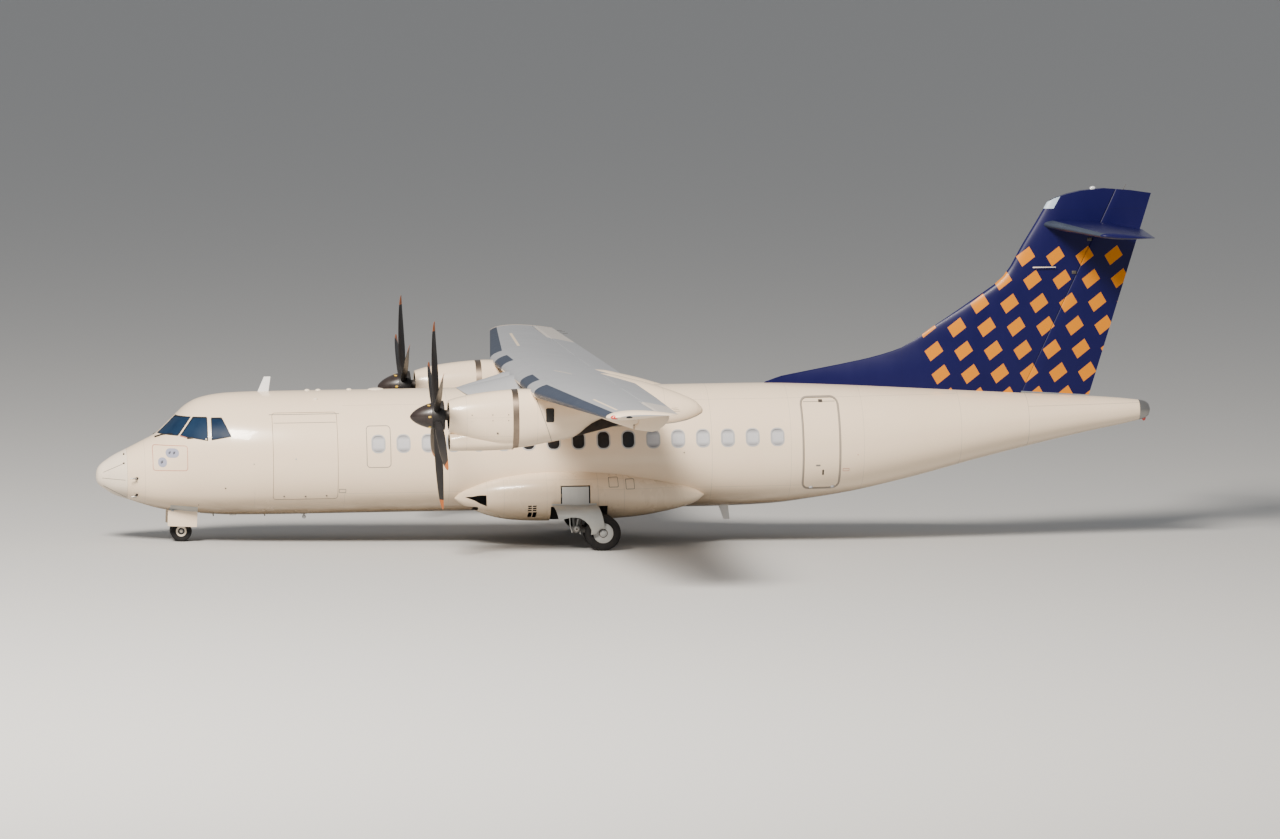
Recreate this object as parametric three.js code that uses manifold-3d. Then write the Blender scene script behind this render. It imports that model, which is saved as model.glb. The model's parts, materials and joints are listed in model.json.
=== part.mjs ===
import * as THREE from "three";
import { mergeVertices } from "three/addons/utils/BufferGeometryUtils.js";
import Module from "manifold-3d";

// A twin-engined, high-winged turboprop airliner, parked on its wheels.
// Millimetres in the airframe's own level frame: x aft from the nose, y to starboard, z up.
// The level frame is turned nose down by noseDown at the end, which puts the tyres on z = 0.

const wasm = await Module();
wasm.setup();

// Driving dimensions.
const noseDown = THREE.MathUtils.degToRad(1.03);
const fit = 0.5; // between pieces that touch
const seam = 8; // round doors and moving panels
const sides = [
  { side: "left", s: -1 },
  { side: "right", s: 1 },
];

const fuselageSize = { length: 22700, radome: 649, tailCap: 22440, around: 30 };
const wingSize = { span: 24570, kink: 4540, tipBlock: 12100, hingeShare: 0.72, aileronIn: 8950 };
const engineSize = { out: 4050, hubX: 6900, hubZ: 2880, tilt: THREE.MathUtils.degToRad(2) };
const propellerSize = { radius: 1965, blades: 6, barrel: 285 };
const finSize = { tipSeam: 6750, rudderGap: 18 };
const tailplaneSize = { half: 3655, hingeX: 21755 };
const mainGear = { hubX: 10573, track: 2050, spacing: 430, tyre: 375, tyreWide: 220, rim: 215, facets: 24 };
const jackPad = { radius: 70, noseX: 2900, noseZ: 490, mainX: 9200, mainY: 905, mainZ: 365 };
const noseGear = { hubX: 1784, spacing: 330, tyre: 225, tyreWide: 160, rim: 118, facets: 20 };

// Fuselage sections: station, roof, belly and half width.
const hullRows = [
  [0, 1381, 1369, 6],
  [32, 1468, 1312, 95],
  [76, 1558, 1262, 165],
  [205, 1708, 1094, 300],
  [370, 1820, 985, 425],
  [649, 1957, 886, 580],
  [1010, 2135, 764, 750],
  [1256, 2262, 692, 850],
  [1480, 2462, 643, 930],
  [1700, 2677, 606, 1003],
  [1914, 2868, 580, 1065],
  [2175, 3005, 560, 1135],
  [2504, 3080, 535, 1215],
  [2829, 3112, 519, 1290],
  [3400, 3127, 512, 1375],
  [4200, 3130, 510, 1427],
  [4700, 3130, 510, 1432],
  [13000, 3130, 510, 1432],
  [13700, 3130, 521, 1431],
  [14430, 3126, 551, 1424],
  [15260, 3100, 644, 1398],
  [16150, 3058, 776, 1345],
  [16870, 3018, 925, 1280],
  [17600, 2975, 1090, 1195],
  [18700, 2908, 1372, 1045],
  [19950, 2825, 1668, 830],
  [21280, 2733, 1958, 560],
  [22440, 2626, 2190, 270],
  [22570, 2600, 2228, 215],
  [22660, 2540, 2294, 140],
  [22700, 2430, 2402, 14],
];

// Wing sections: y, leading edge x, chord, leading edge z, trailing edge z, thickness share, camber share.
const wingRows = [
  [0, 8870, 2570, 3362, 3232, 0.17, 0.022],
  [4540, 8870, 2570, 3362, 3232, 0.17, 0.022],
  [12100, 9600, 1425, 3452, 3492, 0.13, 0.018],
  [12230, 9690, 1240, 3462, 3492, 0.1, 0.018],
  [12285, 9860, 960, 3472, 3488, 0.03, 0.018],
];

// Nacelle cowl sections: station, top, bottom and half width.
const cowlRows = [
  [7160, 3195, 2535, 335],
  [7400, 3265, 2405, 400],
  [7800, 3335, 2262, 445],
  [8340, 3392, 2165, 470],
  [8700, 3410, 2192, 478],
  [9290, 3380, 2290, 478],
  [9770, 3345, 2385, 470],
  [10150, 3320, 2660, 450],
  [10600, 3290, 2850, 415],
  [11100, 3235, 3010, 340],
  [11380, 3190, 3110, 260],
];
const chinRows = [
  [7170, 2500, 2140, 250],
  [7400, 2560, 2136, 285],
  [7900, 2600, 2132, 320],
  [8500, 2600, 2150, 330],
];

// Fin sections: height, leading edge x, thickness, and how far aft the thickest place sits.
const finRows = [
  [2600, 14000, 300, 2.2],
  [3154, 14340, 300, 2.2],
  [3502, 15970, 300, 2],
  [3625, 16590, 300, 1.9],
  [3833, 17293, 295, 1.7],
  [4259, 17963, 290, 1.4],
  [4817, 18808, 280, 1.15],
  [5331, 19513, 270, 1],
  [6000, 19922, 260, 1],
  [6750, 20382, 245, 1],
  [7220, 20640, 210, 1],
];
const finTrailing = { low: [21361, 2730], high: [22735, 7075] };
const rudderHinge = { low: [19864, 2728], high: [21985, 7170] };

// Tailplane sections: y, leading edge x, chord, leading edge z, trailing edge z, thickness share, camber share.
const tailplaneRows = [
  [0, 20371, 2110, 6435, 6335, 0.12, 0],
  [3560, 21010, 1180, 6395, 6325, 0.11, 0],
  [3655, 21190, 900, 6385, 6330, 0.05, 0],
];

// Landing gear fairing sections: station, top where it meets the skin, bottom and half width.
const sponsonRows = [
  [7540, 885, 855, 130],
  [7620, 1000, 770, 230],
  [7850, 1120, 650, 400],
  [8390, 1300, 450, 620],
  [8760, 1356, 390, 710],
  [9340, 1410, 360, 780],
  [9920, 1413, 358, 790],
  [10610, 1380, 372, 785],
  [11080, 1325, 392, 760],
  [11490, 1255, 427, 705],
  [12050, 1155, 520, 570],
  [12430, 1077, 605, 430],
  [12740, 965, 720, 260],
  [12873, 865, 835, 130],
];
const sponsonMiddle = 1000;

// Wing to fuselage fairing sections: station, upper edge (y, z), lower edge (y, z) and bulge.
const saddleRows = [
  [7930, 90, 3126, 640, 3010, 110],
  [8250, 0, 3130, 1000, 2790, 270],
  [8600, 0, 3140, 1190, 2570, 460],
  [8900, 0, 3150, 1270, 2450, 600],
  [9600, 0, 3150, 1300, 2380, 650],
  [10800, 0, 3150, 1300, 2360, 640],
  [11420, 180, 3120, 1285, 2375, 500],
  [12130, 560, 3010, 1246, 2400, 330],
  [12440, 740, 2920, 1220, 2450, 255],
  [12716, 905, 2805, 1160, 2535, 165],
  [12836, 1010, 2700, 1114, 2600, 70],
];

// Doors in the skin: side, station range, height range, corner radius, thickness,
// extra gap aft, above and below, and how far out the floor of the recess lies.
const doors = {
  passenger_door: { s: -1, x: [15004, 15756], z: [957, 2849], corner: 120, thick: 100, room: [0, 14, 4], floor: 620 },
  cargo_door: { s: -1, x: [3690, 5050], z: [919, 2733], corner: 60, thick: 100, room: [0, 0, 0], floor: 740 },
  service_door: { s: 1, x: [15050, 15660], z: [1090, 2310], corner: 90, thick: 45, room: [27, 0, 0], floor: 880 },
};

// Flaps and ailerons: first and last y, for each side.
const flapSpans = {
  flap_inner: [1520, 3540],
  flap_outer: [4560, 8920],
};
const flapHingeDrop = 470; // below the chord, ahead of the flap's nose
const bracketSpots = [2300, 5600, 8200];

const paint = (color, roughness = 0.35, metalness = 0) =>
  new THREE.MeshStandardMaterial({ color, roughness, metalness });
const materials = {
  white: paint(0xefe9df, 0.25),
  wingGrey: paint(0xb9bfc6, 0.4),
  boot: paint(0x2c3442, 0.6),
  indigo: paint(0x1d1d5e, 0.25),
  black: paint(0x17161a, 0.45),
  steel: paint(0x8f887c, 0.35, 0.9),
  gearGrey: paint(0xb4b7b8, 0.4),
  tyre: paint(0x141414, 0.85),
  glass: paint(0x23282d, 0.08),
  radome: paint(0xe6e0d6, 0.4),
  engine: paint(0x6c6f72, 0.5, 0.7),
};

// Solid helpers.
const at = (x, y, z) => new THREE.Vector3(x, y, z);
const mix = THREE.MathUtils.lerp;

function solid(geometry) {
  const bare = geometry.clone();
  bare.deleteAttribute("normal");
  bare.deleteAttribute("uv");
  const merged = mergeVertices(bare, 1e-3);
  const build = (triVerts) =>
    new wasm.Manifold(
      new wasm.Mesh({ numProp: 3, vertProperties: merged.attributes.position.array, triVerts }),
    );
  const triVerts = new Uint32Array(merged.index.array);
  const made = build(triVerts);
  return made.volume() < 0 ? build(triVerts.reverse()) : made;
}

const joined = (...bodies) => bodies.reduce((sum, body) => sum.add(body));
const without = (body, ...cutters) => cutters.reduce((left, cutter) => left.subtract(cutter), body);
const largest = (body) =>
  body.decompose().reduce((best, piece) => (piece.volume() > best.volume() ? piece : best));

// A closed body over rings of points, with a fan over each end.
function loft(rings) {
  const count = rings[0].length;
  const points = rings.flat();
  const faces = [];
  const quads = rings.slice(1).map((_, r) => r * count);
  for (const a of quads)
    for (let i = 0; i < count; i++) {
      const j = (i + 1) % count;
      const b = a + count;
      faces.push(a + i, a + j, b + j, a + i, b + j, b + i);
    }
  const ends = [
    { ring: rings[0], start: 0, turn: 1 },
    { ring: rings.at(-1), start: (rings.length - 1) * count, turn: 0 },
  ];
  for (const { ring, start, turn } of ends) {
    const middle = ring.reduce((sum, p) => sum.add(p), at(0, 0, 0)).divideScalar(count);
    const hub = points.push(middle) - 1;
    for (let i = 0; i < count; i++) {
      const pair = [start + i, start + ((i + 1) % count)];
      faces.push(hub, pair[turn], pair[1 - turn]);
    }
  }
  return solid(new THREE.BufferGeometry().setFromPoints(points).setIndex(faces));
}

// Rows of a table from one station to another, with straight mixing at the ends.
function rowsBetween(rows, from, to) {
  const atStation = (x) => {
    const i = Math.max(1, rows.findIndex((row) => row[0] >= x));
    const share = (x - rows[i - 1][0]) / (rows[i][0] - rows[i - 1][0]);
    return rows[i].map((value, k) => mix(rows[i - 1][k], value, share));
  };
  const inside = rows.filter((row) => row[0] > from && row[0] < to);
  return [atStation(from), ...inside, atStation(to)];
}

// Prisms over an outline of pairs: along y from (x, z), along z from (x, y), along x from (y, z).
function extruded(outline, depth) {
  const shape = Array.isArray(outline)
    ? new THREE.Shape(outline.map(([a, b]) => new THREE.Vector2(a, b)))
    : outline;
  return new THREE.ExtrudeGeometry(shape, { depth, bevelEnabled: false, curveSegments: 5 });
}
const prismY = (outline, from, to) =>
  solid(extruded(outline, to - from).rotateX(Math.PI / 2).translate(0, to, 0));
const prismZ = (outline, from, to) => solid(extruded(outline, to - from).translate(0, 0, from));
const prismX = (outline, from, to) =>
  solid(extruded(outline, to - from).rotateZ(Math.PI / 2).rotateY(Math.PI / 2).translate(from, 0, 0));
const box = (x, y, z) =>
  solid(
    new THREE.BoxGeometry(x[1] - x[0], y[1] - y[0], z[1] - z[0]).translate(
      (x[0] + x[1]) / 2,
      (y[0] + y[1]) / 2,
      (z[0] + z[1]) / 2,
    ),
  );

function roundedOutline([x0, x1], [z0, z1], r) {
  const shape = new THREE.Shape();
  shape.absarc(x1 - r, z1 - r, r, 0, Math.PI / 2);
  shape.absarc(x0 + r, z1 - r, r, Math.PI / 2, Math.PI);
  shape.absarc(x0 + r, z0 + r, r, Math.PI, Math.PI * 1.5);
  shape.absarc(x1 - r, z0 + r, r, Math.PI * 1.5, Math.PI * 2);
  return shape;
}

// A round bar between two points, tapering from one radius to the other.
function bar(from, to, r0, r1 = r0, facets = 12) {
  const way = to.clone().sub(from);
  const turn = new THREE.Quaternion().setFromUnitVectors(at(0, 1, 0), way.clone().normalize());
  const geometry = new THREE.CylinderGeometry(r1, r0, way.length(), facets);
  const middle = from.clone().add(to).divideScalar(2);
  return solid(geometry.applyQuaternion(turn).translate(middle.x, middle.y, middle.z));
}

const airframe = new THREE.Group();
function addMesh(name, body, material, parent = airframe) {
  const { vertProperties, triVerts } = largest(body).getMesh();
  const geometry = new THREE.BufferGeometry();
  geometry.setAttribute("position", new THREE.BufferAttribute(vertProperties, 3));
  geometry.setIndex(new THREE.BufferAttribute(triVerts, 1));
  geometry.computeVertexNormals();
  const mesh = new THREE.Mesh(geometry, material);
  mesh.name = name;
  parent.add(mesh);
  return mesh;
}

// A station's ring: a half ellipse over the knee line, and a flatter one under it.
function eggRing(x, roof, belly, half, { middle = 0, knee = 0.5, flat = 2, around, grow = 0 }) {
  const kneeZ = mix(belly, roof, knee);
  return Array.from({ length: around }, (_, i) => {
    const a = (i / around) * Math.PI * 2;
    const power = Math.sin(a) < 0 ? 2 / flat : 1;
    const across = Math.sign(Math.cos(a)) * Math.abs(Math.cos(a)) ** power;
    const up = Math.sign(Math.sin(a)) * Math.abs(Math.sin(a)) ** power;
    const height = (up > 0 ? roof - kneeZ : kneeZ - belly) + grow;
    return at(x, middle + across * (half + grow), kneeZ + up * height);
  });
}

// The fuselage's outer form, grown outwards or shrunk inwards by grow.
function hull(from, to, grow = 0) {
  const { length, around } = fuselageSize;
  const fullFrom = 4700;
  const fullTo = 13000;
  return loft(
    rowsBetween(hullRows, from, to).map(([x, roof, belly, half]) => {
      const along = Math.min(1, x / fullFrom, (length - x) / (length - fullTo));
      const shape = { knee: mix(0.5, 0.4542, along), flat: mix(2, 2.3, along), around, grow };
      return eggRing(x, roof, belly, Math.max(half, 1 - grow), shape);
    }),
  );
}

// Half thickness of a classic four digit section, as a share of the chord.
function sectionHalf(s, thickness) {
  const root = 0.2969 * Math.sqrt(s);
  return 5 * thickness * (root - 0.126 * s - 0.3516 * s ** 2 + 0.2843 * s ** 3 - 0.1036 * s ** 4);
}
const chordSteps = [1, 0.86, 0.72, 0.55, 0.4, 0.27, 0.16, 0.08, 0.025, 0];

// Wing section ring from the upper trailing edge round the nose to the lower one.
function wingRing(y, [nose, chord, noseZ, tailZ, thickness, camber], grow = 0) {
  const crest = 0.4;
  const rise = (s) =>
    s < crest
      ? (camber * chord * s * (2 * crest - s)) / crest ** 2
      : (camber * chord * (1 - 2 * crest + 2 * crest * s - s ** 2)) / (1 - crest) ** 2;
  const point = (s, up) => {
    const half = Math.max(sectionHalf(s, thickness) * chord, 3) * (s === 0 ? 0 : 1) + grow;
    const x = nose - grow + s * (chord + 2 * grow);
    return at(x, y, mix(noseZ, tailZ, s) + rise(s) + up * half);
  };
  const upper = chordSteps.map((s) => point(s, 1));
  const lower = chordSteps.slice(0, grow ? undefined : -1).reverse();
  return [...upper, ...lower.map((s) => point(s, -1))];
}

const wingPiece = (rows, s, grow = 0) => loft(rows.map(([y, ...rest]) => wingRing(s * y, rest, grow)));
const wingAt = (y) => rowsBetween(wingRows, y, y + 1)[0];

// Fin section ring at one height.
function finRing([z, nose, thickness, aft]) {
  const { low, high } = finTrailing;
  const tail = mix(low[0], high[0], (z - low[1]) / (high[1] - low[1]));
  const chord = tail - nose;
  const point = (s, side) => {
    const half = s === 0 ? 0 : Math.max((sectionHalf(s ** aft, 1) * thickness) / 1, 4);
    return at(nose + s * chord, side * half, z);
  };
  return [
    ...chordSteps.map((s) => point(s, 1)),
    ...chordSteps.slice(0, -1).reverse().map((s) => point(s, -1)),
  ];
}

// Fuselage with its doors.
const outline = (door, grow) =>
  roundedOutline(
    [door.x[0] - grow, door.x[1] + grow],
    [door.z[0] - grow, door.z[1] + grow],
    door.corner + grow,
  );
const doorColumn = (door, grow) => {
  const reach = door.s > 0 ? [door.floor, 1700] : [-1700, -door.floor];
  return prismY(outline(door, grow), ...reach);
};

// The passenger door's top edge leans so that it clears the frame as the door swings out.
function leaningTop(door, grow) {
  const lean = THREE.MathUtils.degToRad(-15);
  const slab = new THREE.BoxGeometry(2000, 3000, 800).translate(0, 0, 400 + grow);
  return solid(slab.rotateX(lean).translate(door.x[0], -790, door.z[1]));
}
function doorBlock(name, grow) {
  const door = doors[name];
  const column = doorColumn(door, grow);
  return name === "passenger_door" ? without(column, leaningTop(door, grow)) : column;
}

const skin = hull(fuselageSize.radome + fit, fuselageSize.tailCap - fit);
let fuselage = skin;
for (const [name, door] of Object.entries(doors)) {
  const inner = hull(1200, 18000, -door.thick);
  addMesh(name, without(skin.intersect(doorBlock(name, 0)), inner), materials.white);
  const recess = doorBlock(name, seam);
  const [aft, up, down] = door.room;
  const shifts = [[0, 0, 0], [aft, 0, 0], [0, 0, up], [0, 0, -down]];
  fuselage = without(fuselage, ...shifts.map((shift) => recess.translate(shift)));
}

// Cockpit glazing: a band of panes round each side, sunk flush in the skin.
const glazing = {
  base: [[1300, 2300], [1706, 2290], [2317, 2192], [2411, 2202], [2814, 2280]],
  top: [[1655, 2655], [2626, 2648]],
  thick: 40,
};
function glazingColumn(s, grow) {
  const { base, top } = glazing;
  const low = base.map(([x, z]) => [x, z - grow]);
  const high = top.map(([x, z]) => [x, z + grow]).reverse();
  low[0][0] -= grow;
  high.at(-1)[0] -= grow;
  low.at(-1)[0] += grow;
  high[0][0] += grow;
  return prismY([...low, ...high], s > 0 ? 40 - grow : -1500, s > 0 ? 1500 : grow - 40);
}
for (const { side, s } of sides) {
  const inner = hull(1200, 4000, -glazing.thick);
  const deeper = hull(1200, 4000, -glazing.thick - fit);
  addMesh("cockpit_glazing_" + side, without(skin.intersect(glazingColumn(s, 0)), inner), materials.glass);
  fuselage = without(fuselage, without(glazingColumn(s, fit), deeper));
}

// Nose gear bay.
const noseBay = { x: [1480, 2200], half: 330, top: 1150 };
fuselage = without(fuselage, box(noseBay.x, [-noseBay.half, noseBay.half], [300, noseBay.top]));

// Blade aerials over and under the cabin, standing on the skin.
const bladeAerial = (root, tip, halfWide) =>
  prismY([[root[0], root[2]], [root[1], root[2]], [tip[1], tip[2]], [tip[0], tip[2]]], -halfWide, halfWide);
fuselage = joined(
  fuselage,
  bladeAerial([3450, 3690, 3100], [3600, 3740, 3437], 14),
  bladeAerial([13300, 13520, 560], [13430, 13560, 205], 12),
  bar(at(jackPad.noseX, 0, 640), at(jackPad.noseX, 0, jackPad.noseZ), jackPad.radius, jackPad.radius, 20),
);

addMesh("radome", hull(0, fuselageSize.radome - fit), materials.radome);
addMesh("fuselage", fuselage, materials.white);
addMesh("tail_cap", hull(fuselageSize.tailCap, fuselageSize.length), materials.steel);

// Wing.
const around = (x, s, [y0, y1]) => (s > 0 ? [x, [y0, y1]] : [x, [-y1, -y0]]);
const hingeAt = (y) => {
  const [, nose, chord] = wingAt(y);
  return nose + wingSize.hingeShare * chord;
};
// Everything behind a line across the span, from the first y to the last.
function behind(s, [y0, y1], ahead, end = 15) {
  const x0 = hingeAt(y0) - ahead;
  const x1 = hingeAt(y1) - ahead;
  const far = 12000;
  return prismZ(
    [[x0, s * (y0 - end)], [x1, s * (y1 + end)], [far, s * (y1 + end)], [far, s * (y0 - end)]],
    2000,
    4200,
  );
}
const aileronSpan = [wingSize.aileronIn, 11900];
const aileronNose = ([y0, y1], s, share) => {
  const end = (y) => {
    const [, nose, chord, noseZ, tailZ, thickness, camber] = wingAt(y);
    const z = mix(noseZ, tailZ, wingSize.hingeShare) + camber * chord * 0.72;
    return { point: at(nose + wingSize.hingeShare * chord, s * y, z), half: sectionHalf(0.72, thickness) * chord };
  };
  const [a, b] = [end(y0), end(y1)];
  return bar(a.point, b.point, a.half * share, b.half * share, 16);
};

// Canoe fairings that carry the flap hinges: the front half is the wing's, the back half the flap's.
function canoe(y, front) {
  const hinge = hingeAt(Math.abs(y)) - 20;
  const [, , , noseZ, tailZ] = wingAt(Math.abs(y));
  const z = mix(noseZ, tailZ, wingSize.hingeShare) - flapHingeDrop;
  const half = 45;
  const outlinePairs = front
    ? [[hinge - 900, z + 330], [hinge - 500, z + 130], [hinge - 92, z - 15], [hinge - 92, z + 380], [hinge - 900, z + 380]]
    : [[hinge - 50, z - 35], [hinge + 290, z - 90], [hinge + 360, z - 82], [hinge + 640, z + 150], [hinge + 655, z + 260],
       [hinge + 560, z + 400], [hinge + 60, z + 400], [hinge + 20, z + 120], [hinge - 50, z + 60]];
  return prismY(outlinePairs, y - half, y + half);
}

const centreRows = (grow) => [
  [-wingSize.kink + fit / 2, ...wingRows[1].slice(1)],
  [wingSize.kink - fit / 2, ...wingRows[1].slice(1)],
].map(([y, ...rest]) => wingRing(y, rest, grow));
const wingCentreWhole = loft(centreRows(0));
const wingCentreGrown = loft(centreRows(fit));
let wingCentre = wingCentreWhole;
for (const { side, s } of sides) {
  const span = flapSpans.flap_inner;
  wingCentre = without(wingCentre, behind(s, span, 15));
  const brackets = bracketSpots.filter((y) => y > span[0] && y < span[1]);
  for (const y of brackets) wingCentre = joined(wingCentre, without(canoe(s * y, true), behind(s, span, 15)));
  const flap = wingCentreWhole.intersect(behind(s, span, 0, 0));
  addMesh("flap_inner_" + side, joined(flap, ...brackets.map((y) => canoe(s * y, false))), materials.wingGrey);
}
addMesh("wing_centre", wingCentre, materials.wingGrey);

for (const { side, s } of sides) {
  const rows = [[wingSize.kink + fit / 2, ...wingRows[1].slice(1)], ...wingRows.slice(2)];
  const whole = wingPiece(rows, s);
  const span = flapSpans.flap_outer;
  const brackets = bracketSpots.filter((y) => y > span[0] && y < span[1]);
  let outer = without(whole, behind(s, [span[0] - 30, span[1]], 15), behind(s, aileronSpan, 82));
  for (const y of brackets) outer = joined(outer, without(canoe(s * y, true), behind(s, span, 15)));
  addMesh("wing_outer_" + side, outer, materials.wingGrey);
  const flap = whole.intersect(behind(s, span, 0, 0));
  addMesh("flap_outer_" + side, joined(flap, ...brackets.map((y) => canoe(s * y, false))), materials.wingGrey);
  const aileron = joined(whole.intersect(behind(s, aileronSpan, 0, 0)), aileronNose(aileronSpan, s, 0.9));
  addMesh("aileron_" + side, aileron, materials.wingGrey);
}

// Wing to fuselage fairings.
const hullGrown = hull(6000, 22400, fit);
function saddleRing([x, upperY, upperZ, lowerY, lowerZ, bulge], s) {
  const chord = new THREE.Vector2(lowerY - upperY, lowerZ - upperZ).divideScalar(2);
  const out = new THREE.Vector2(-chord.y, chord.x).setLength(bulge);
  const middle = new THREE.Vector2(upperY + lowerY, upperZ + lowerZ).divideScalar(2);
  return Array.from({ length: 20 }, (_, i) => {
    const a = (s * i * Math.PI) / 10;
    const p = middle.clone().addScaledVector(chord, Math.cos(a)).addScaledVector(out, Math.sin(a));
    return at(x, s * p.x, p.y);
  });
}
for (const { side, s } of sides) {
  const otherSide = box([7000, 13500], s > 0 ? [-2000, fit] : [-fit, 2000], [2000, 4000]);
  const body = loft(saddleRows.map((row) => saddleRing(row, s)));
  addMesh("wing_fairing_" + side, without(body, hullGrown, wingCentreGrown, otherSide), materials.white);
}

// Nacelles with an open intake under the spinner, the engine inside and the exhaust at the tail.
const superRing = (x, top, bottom, half, middle, power, count = 20) =>
  Array.from({ length: count }, (_, i) => {
    const a = (i / count) * Math.PI * 2;
    const round = (v) => Math.sign(v) * Math.abs(v) ** (2 / power);
    return at(x, middle + round(Math.cos(a)) * half, (top + bottom) / 2 + (round(Math.sin(a)) * (top - bottom)) / 2);
  });
for (const { side, s } of sides) {
  const y = s * engineSize.out;
  const cowl = loft(cowlRows.map(([x, top, bottom, half]) => superRing(x, top, bottom, half, y, 2.3)));
  const chin = loft(chinRows.map(([x, top, bottom, half]) => superRing(x, top, bottom, half, y, 2.6)));
  const mouth = loft([
    superRing(7100, 2478, 2162, 226, y, 2.6),
    superRing(7300, 2470, 2170, 220, y, 2.6),
    superRing(7700, 2400, 2220, 170, y, 2.6),
  ]);
  const bay = bar(at(7000, y, 2870), at(9250, y, 2870), 285, 285, 20);
  const pipe = [at(9800, y, 2585), at(10720, y, 2810)];
  const pipeWay = pipe[1].clone().sub(pipe[0]).normalize();
  const hole = [pipe[0].clone().addScaledVector(pipeWay, -2), pipe[1].clone().addScaledVector(pipeWay, 200)];
  const pipeHole = bar(...hole, 192, 192, 16);
  const engineBlock = bar(at(7230, y, 2870), at(9249, y, 2870), 270, 284, 20);
  const nacelle = without(joined(cowl, chin), mouth, bay, wingCentreGrown, pipeHole);
  addMesh("nacelle_" + side, nacelle, materials.white);
  addMesh("engine_" + side, engineBlock, materials.engine);
  const bore = bar(at(10250, y, 2695), at(10800, y, 2830), 165, 165, 16);
  addMesh("exhaust_" + side, without(bar(...pipe, 190, 190, 16), bore), materials.black);
}

// Propellers.
// Blade sections: radius, chord, pitch in degrees from the disc, thickness and lean aft.
const bladeRows = [
  [180, 130, 70, 115, 0],
  [480, 180, 56, 72, 0],
  [850, 240, 41, 40, 6],
  [1250, 260, 31, 26, 12],
  [1650, 215, 25, 17, 25],
  [1900, 115, 22, 10, 45],
  [1965, 40, 21, 6, 58],
];
function bladeRing([radius, chord, pitch, thick, lean]) {
  const turn = THREE.MathUtils.degToRad(pitch);
  const half = [0, 0.55, 0.95, 0.85, 0.45, 0, -0.4, -0.8, -0.9, -0.5];
  const along = [0, 0.06, 0.3, 0.6, 0.88, 1, 0.88, 0.6, 0.3, 0.06];
  return half.map((h, i) => {
    const c = (along[i] - 0.4) * chord;
    const t = (h * thick) / 2;
    return at(lean + c * Math.sin(turn) + t * Math.cos(turn), c * Math.cos(turn) - t * Math.sin(turn), radius);
  });
}
const blade = loft(bladeRows.map(bladeRing));
const turned = (points, facets) =>
  solid(
    new THREE.LatheGeometry(points.map(([r, x]) => new THREE.Vector2(r, x)), facets).rotateZ(-Math.PI / 2),
  );
for (const { side, s } of sides) {
  const rotor = new THREE.Group();
  rotor.position.set(engineSize.hubX, s * engineSize.out, engineSize.hubZ);
  rotor.rotation.y = -engineSize.tilt;
  airframe.add(rotor);
  const { barrel, blades } = propellerSize;
  let hub = turned([[0, -95], [barrel - 14, -95], [barrel, 60], [barrel + 22, 90], [barrel + 22, 170], [0, 170]], 24);
  for (let i = 0; i < blades; i++) hub = hub.add(blade.rotate([(i * 360) / blades, 0, 0]));
  hub = hub.add(bar(at(150, 0, 0), at(320, 0, 0), 110, 110, 16));
  addMesh("propeller_" + side, hub, materials.black, rotor);
  const cone = [[0, -545], [60, -515], [135, -430], [200, -310], [245, -190], [barrel - 14, -95 - fit], [0, -95 - fit]];
  addMesh("spinner_" + side, turned(cone, 24), materials.black, rotor);
}

// Fin, dorsal fin, rudder and tailplane.
const { low: hingeLow, high: hingeHigh } = rudderHinge;
const hingeWay = (hingeHigh[0] - hingeLow[0]) / (hingeHigh[1] - hingeLow[1]);
const rudderX = (z, ahead) => hingeLow[0] + (z - hingeLow[1]) * hingeWay - ahead;
const behindHinge = (ahead) =>
  prismY([[rudderX(2000, ahead), 2000], [24500, 2000], [24500, 7600], [rudderX(7600, ahead), 7600]], -600, 600);
const finTop = [[13000, 2000], [24500, 2000], [24500, 6857], [22735, 7075], [21694, 7195], [20900, 7085],
  [20454, 6899], [20382, 6750], [13000, 6750]];
const finWhole = loft(finRows.map(finRing)).intersect(prismY(finTop, -600, 600));
const tailplaneWhole = joined(
  ...sides.map(({ s }) => wingPiece(tailplaneRows, s)),
);
const tailplaneGrown = joined(
  ...sides.map(({ s }) => wingPiece([...tailplaneRows.slice(0, 2)], s, fit)),
);
const noseRadius = { low: 88, high: 60 };
const roundNose = bar(
  at(rudderX(2790, 0), 0, 2790), at(rudderX(7120, 0), 0, 7120), noseRadius.low, noseRadius.high, 16,
);
const hullClear = hull(6000, 22400, 32);
const splitX = 17293;
const dorsalBox = box([13000, splitX - fit], [-600, 600], [2000, 7600]);
const finBox = box([splitX, 24500], [-600, 600], [2000, finSize.tipSeam - fit]);
const tipBox = box([splitX, 24500], [-600, 600], [finSize.tipSeam, 7600]);
const fixedFin = without(finWhole, behindHinge(noseRadius.low + finSize.rudderGap), tailplaneGrown);
addMesh("dorsal_fin", without(fixedFin.intersect(dorsalBox), hullGrown), materials.indigo);
addMesh("fin", without(fixedFin.intersect(finBox), hullGrown), materials.indigo);
addMesh("fin_tip", fixedFin.intersect(tipBox), materials.indigo);
addMesh("rudder", without(joined(finWhole.intersect(behindHinge(0)), roundNose), hullClear), materials.indigo);

// The rudder swings through a notch between the elevators.
const notch = prismZ(
  [[21400, -132], [21600, -140], [22700, -760], [22700, 760], [21600, 140], [21400, 132]], 6000, 6800,
);
const { hingeX, half: tailHalf } = tailplaneSize;
const elevatorZone = (ahead, end) =>
  box([hingeX - ahead, 23500], [-3560 - end, 3560 + end], [6000, 6800]);
addMesh("tailplane", without(tailplaneWhole, elevatorZone(75, 12), notch), materials.indigo);
for (const { side, s } of sides) {
  const half = box([hingeX, 23500], s > 0 ? [60, 3560] : [-3560, -60], [6000, 6800]);
  const noseBar = bar(at(hingeX, s * 190, 6372), at(hingeX, s * 3560, 6348), 62, 34, 14);
  addMesh("elevator_" + side, without(joined(tailplaneWhole.intersect(half), noseBar), notch), materials.indigo);
}

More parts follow.
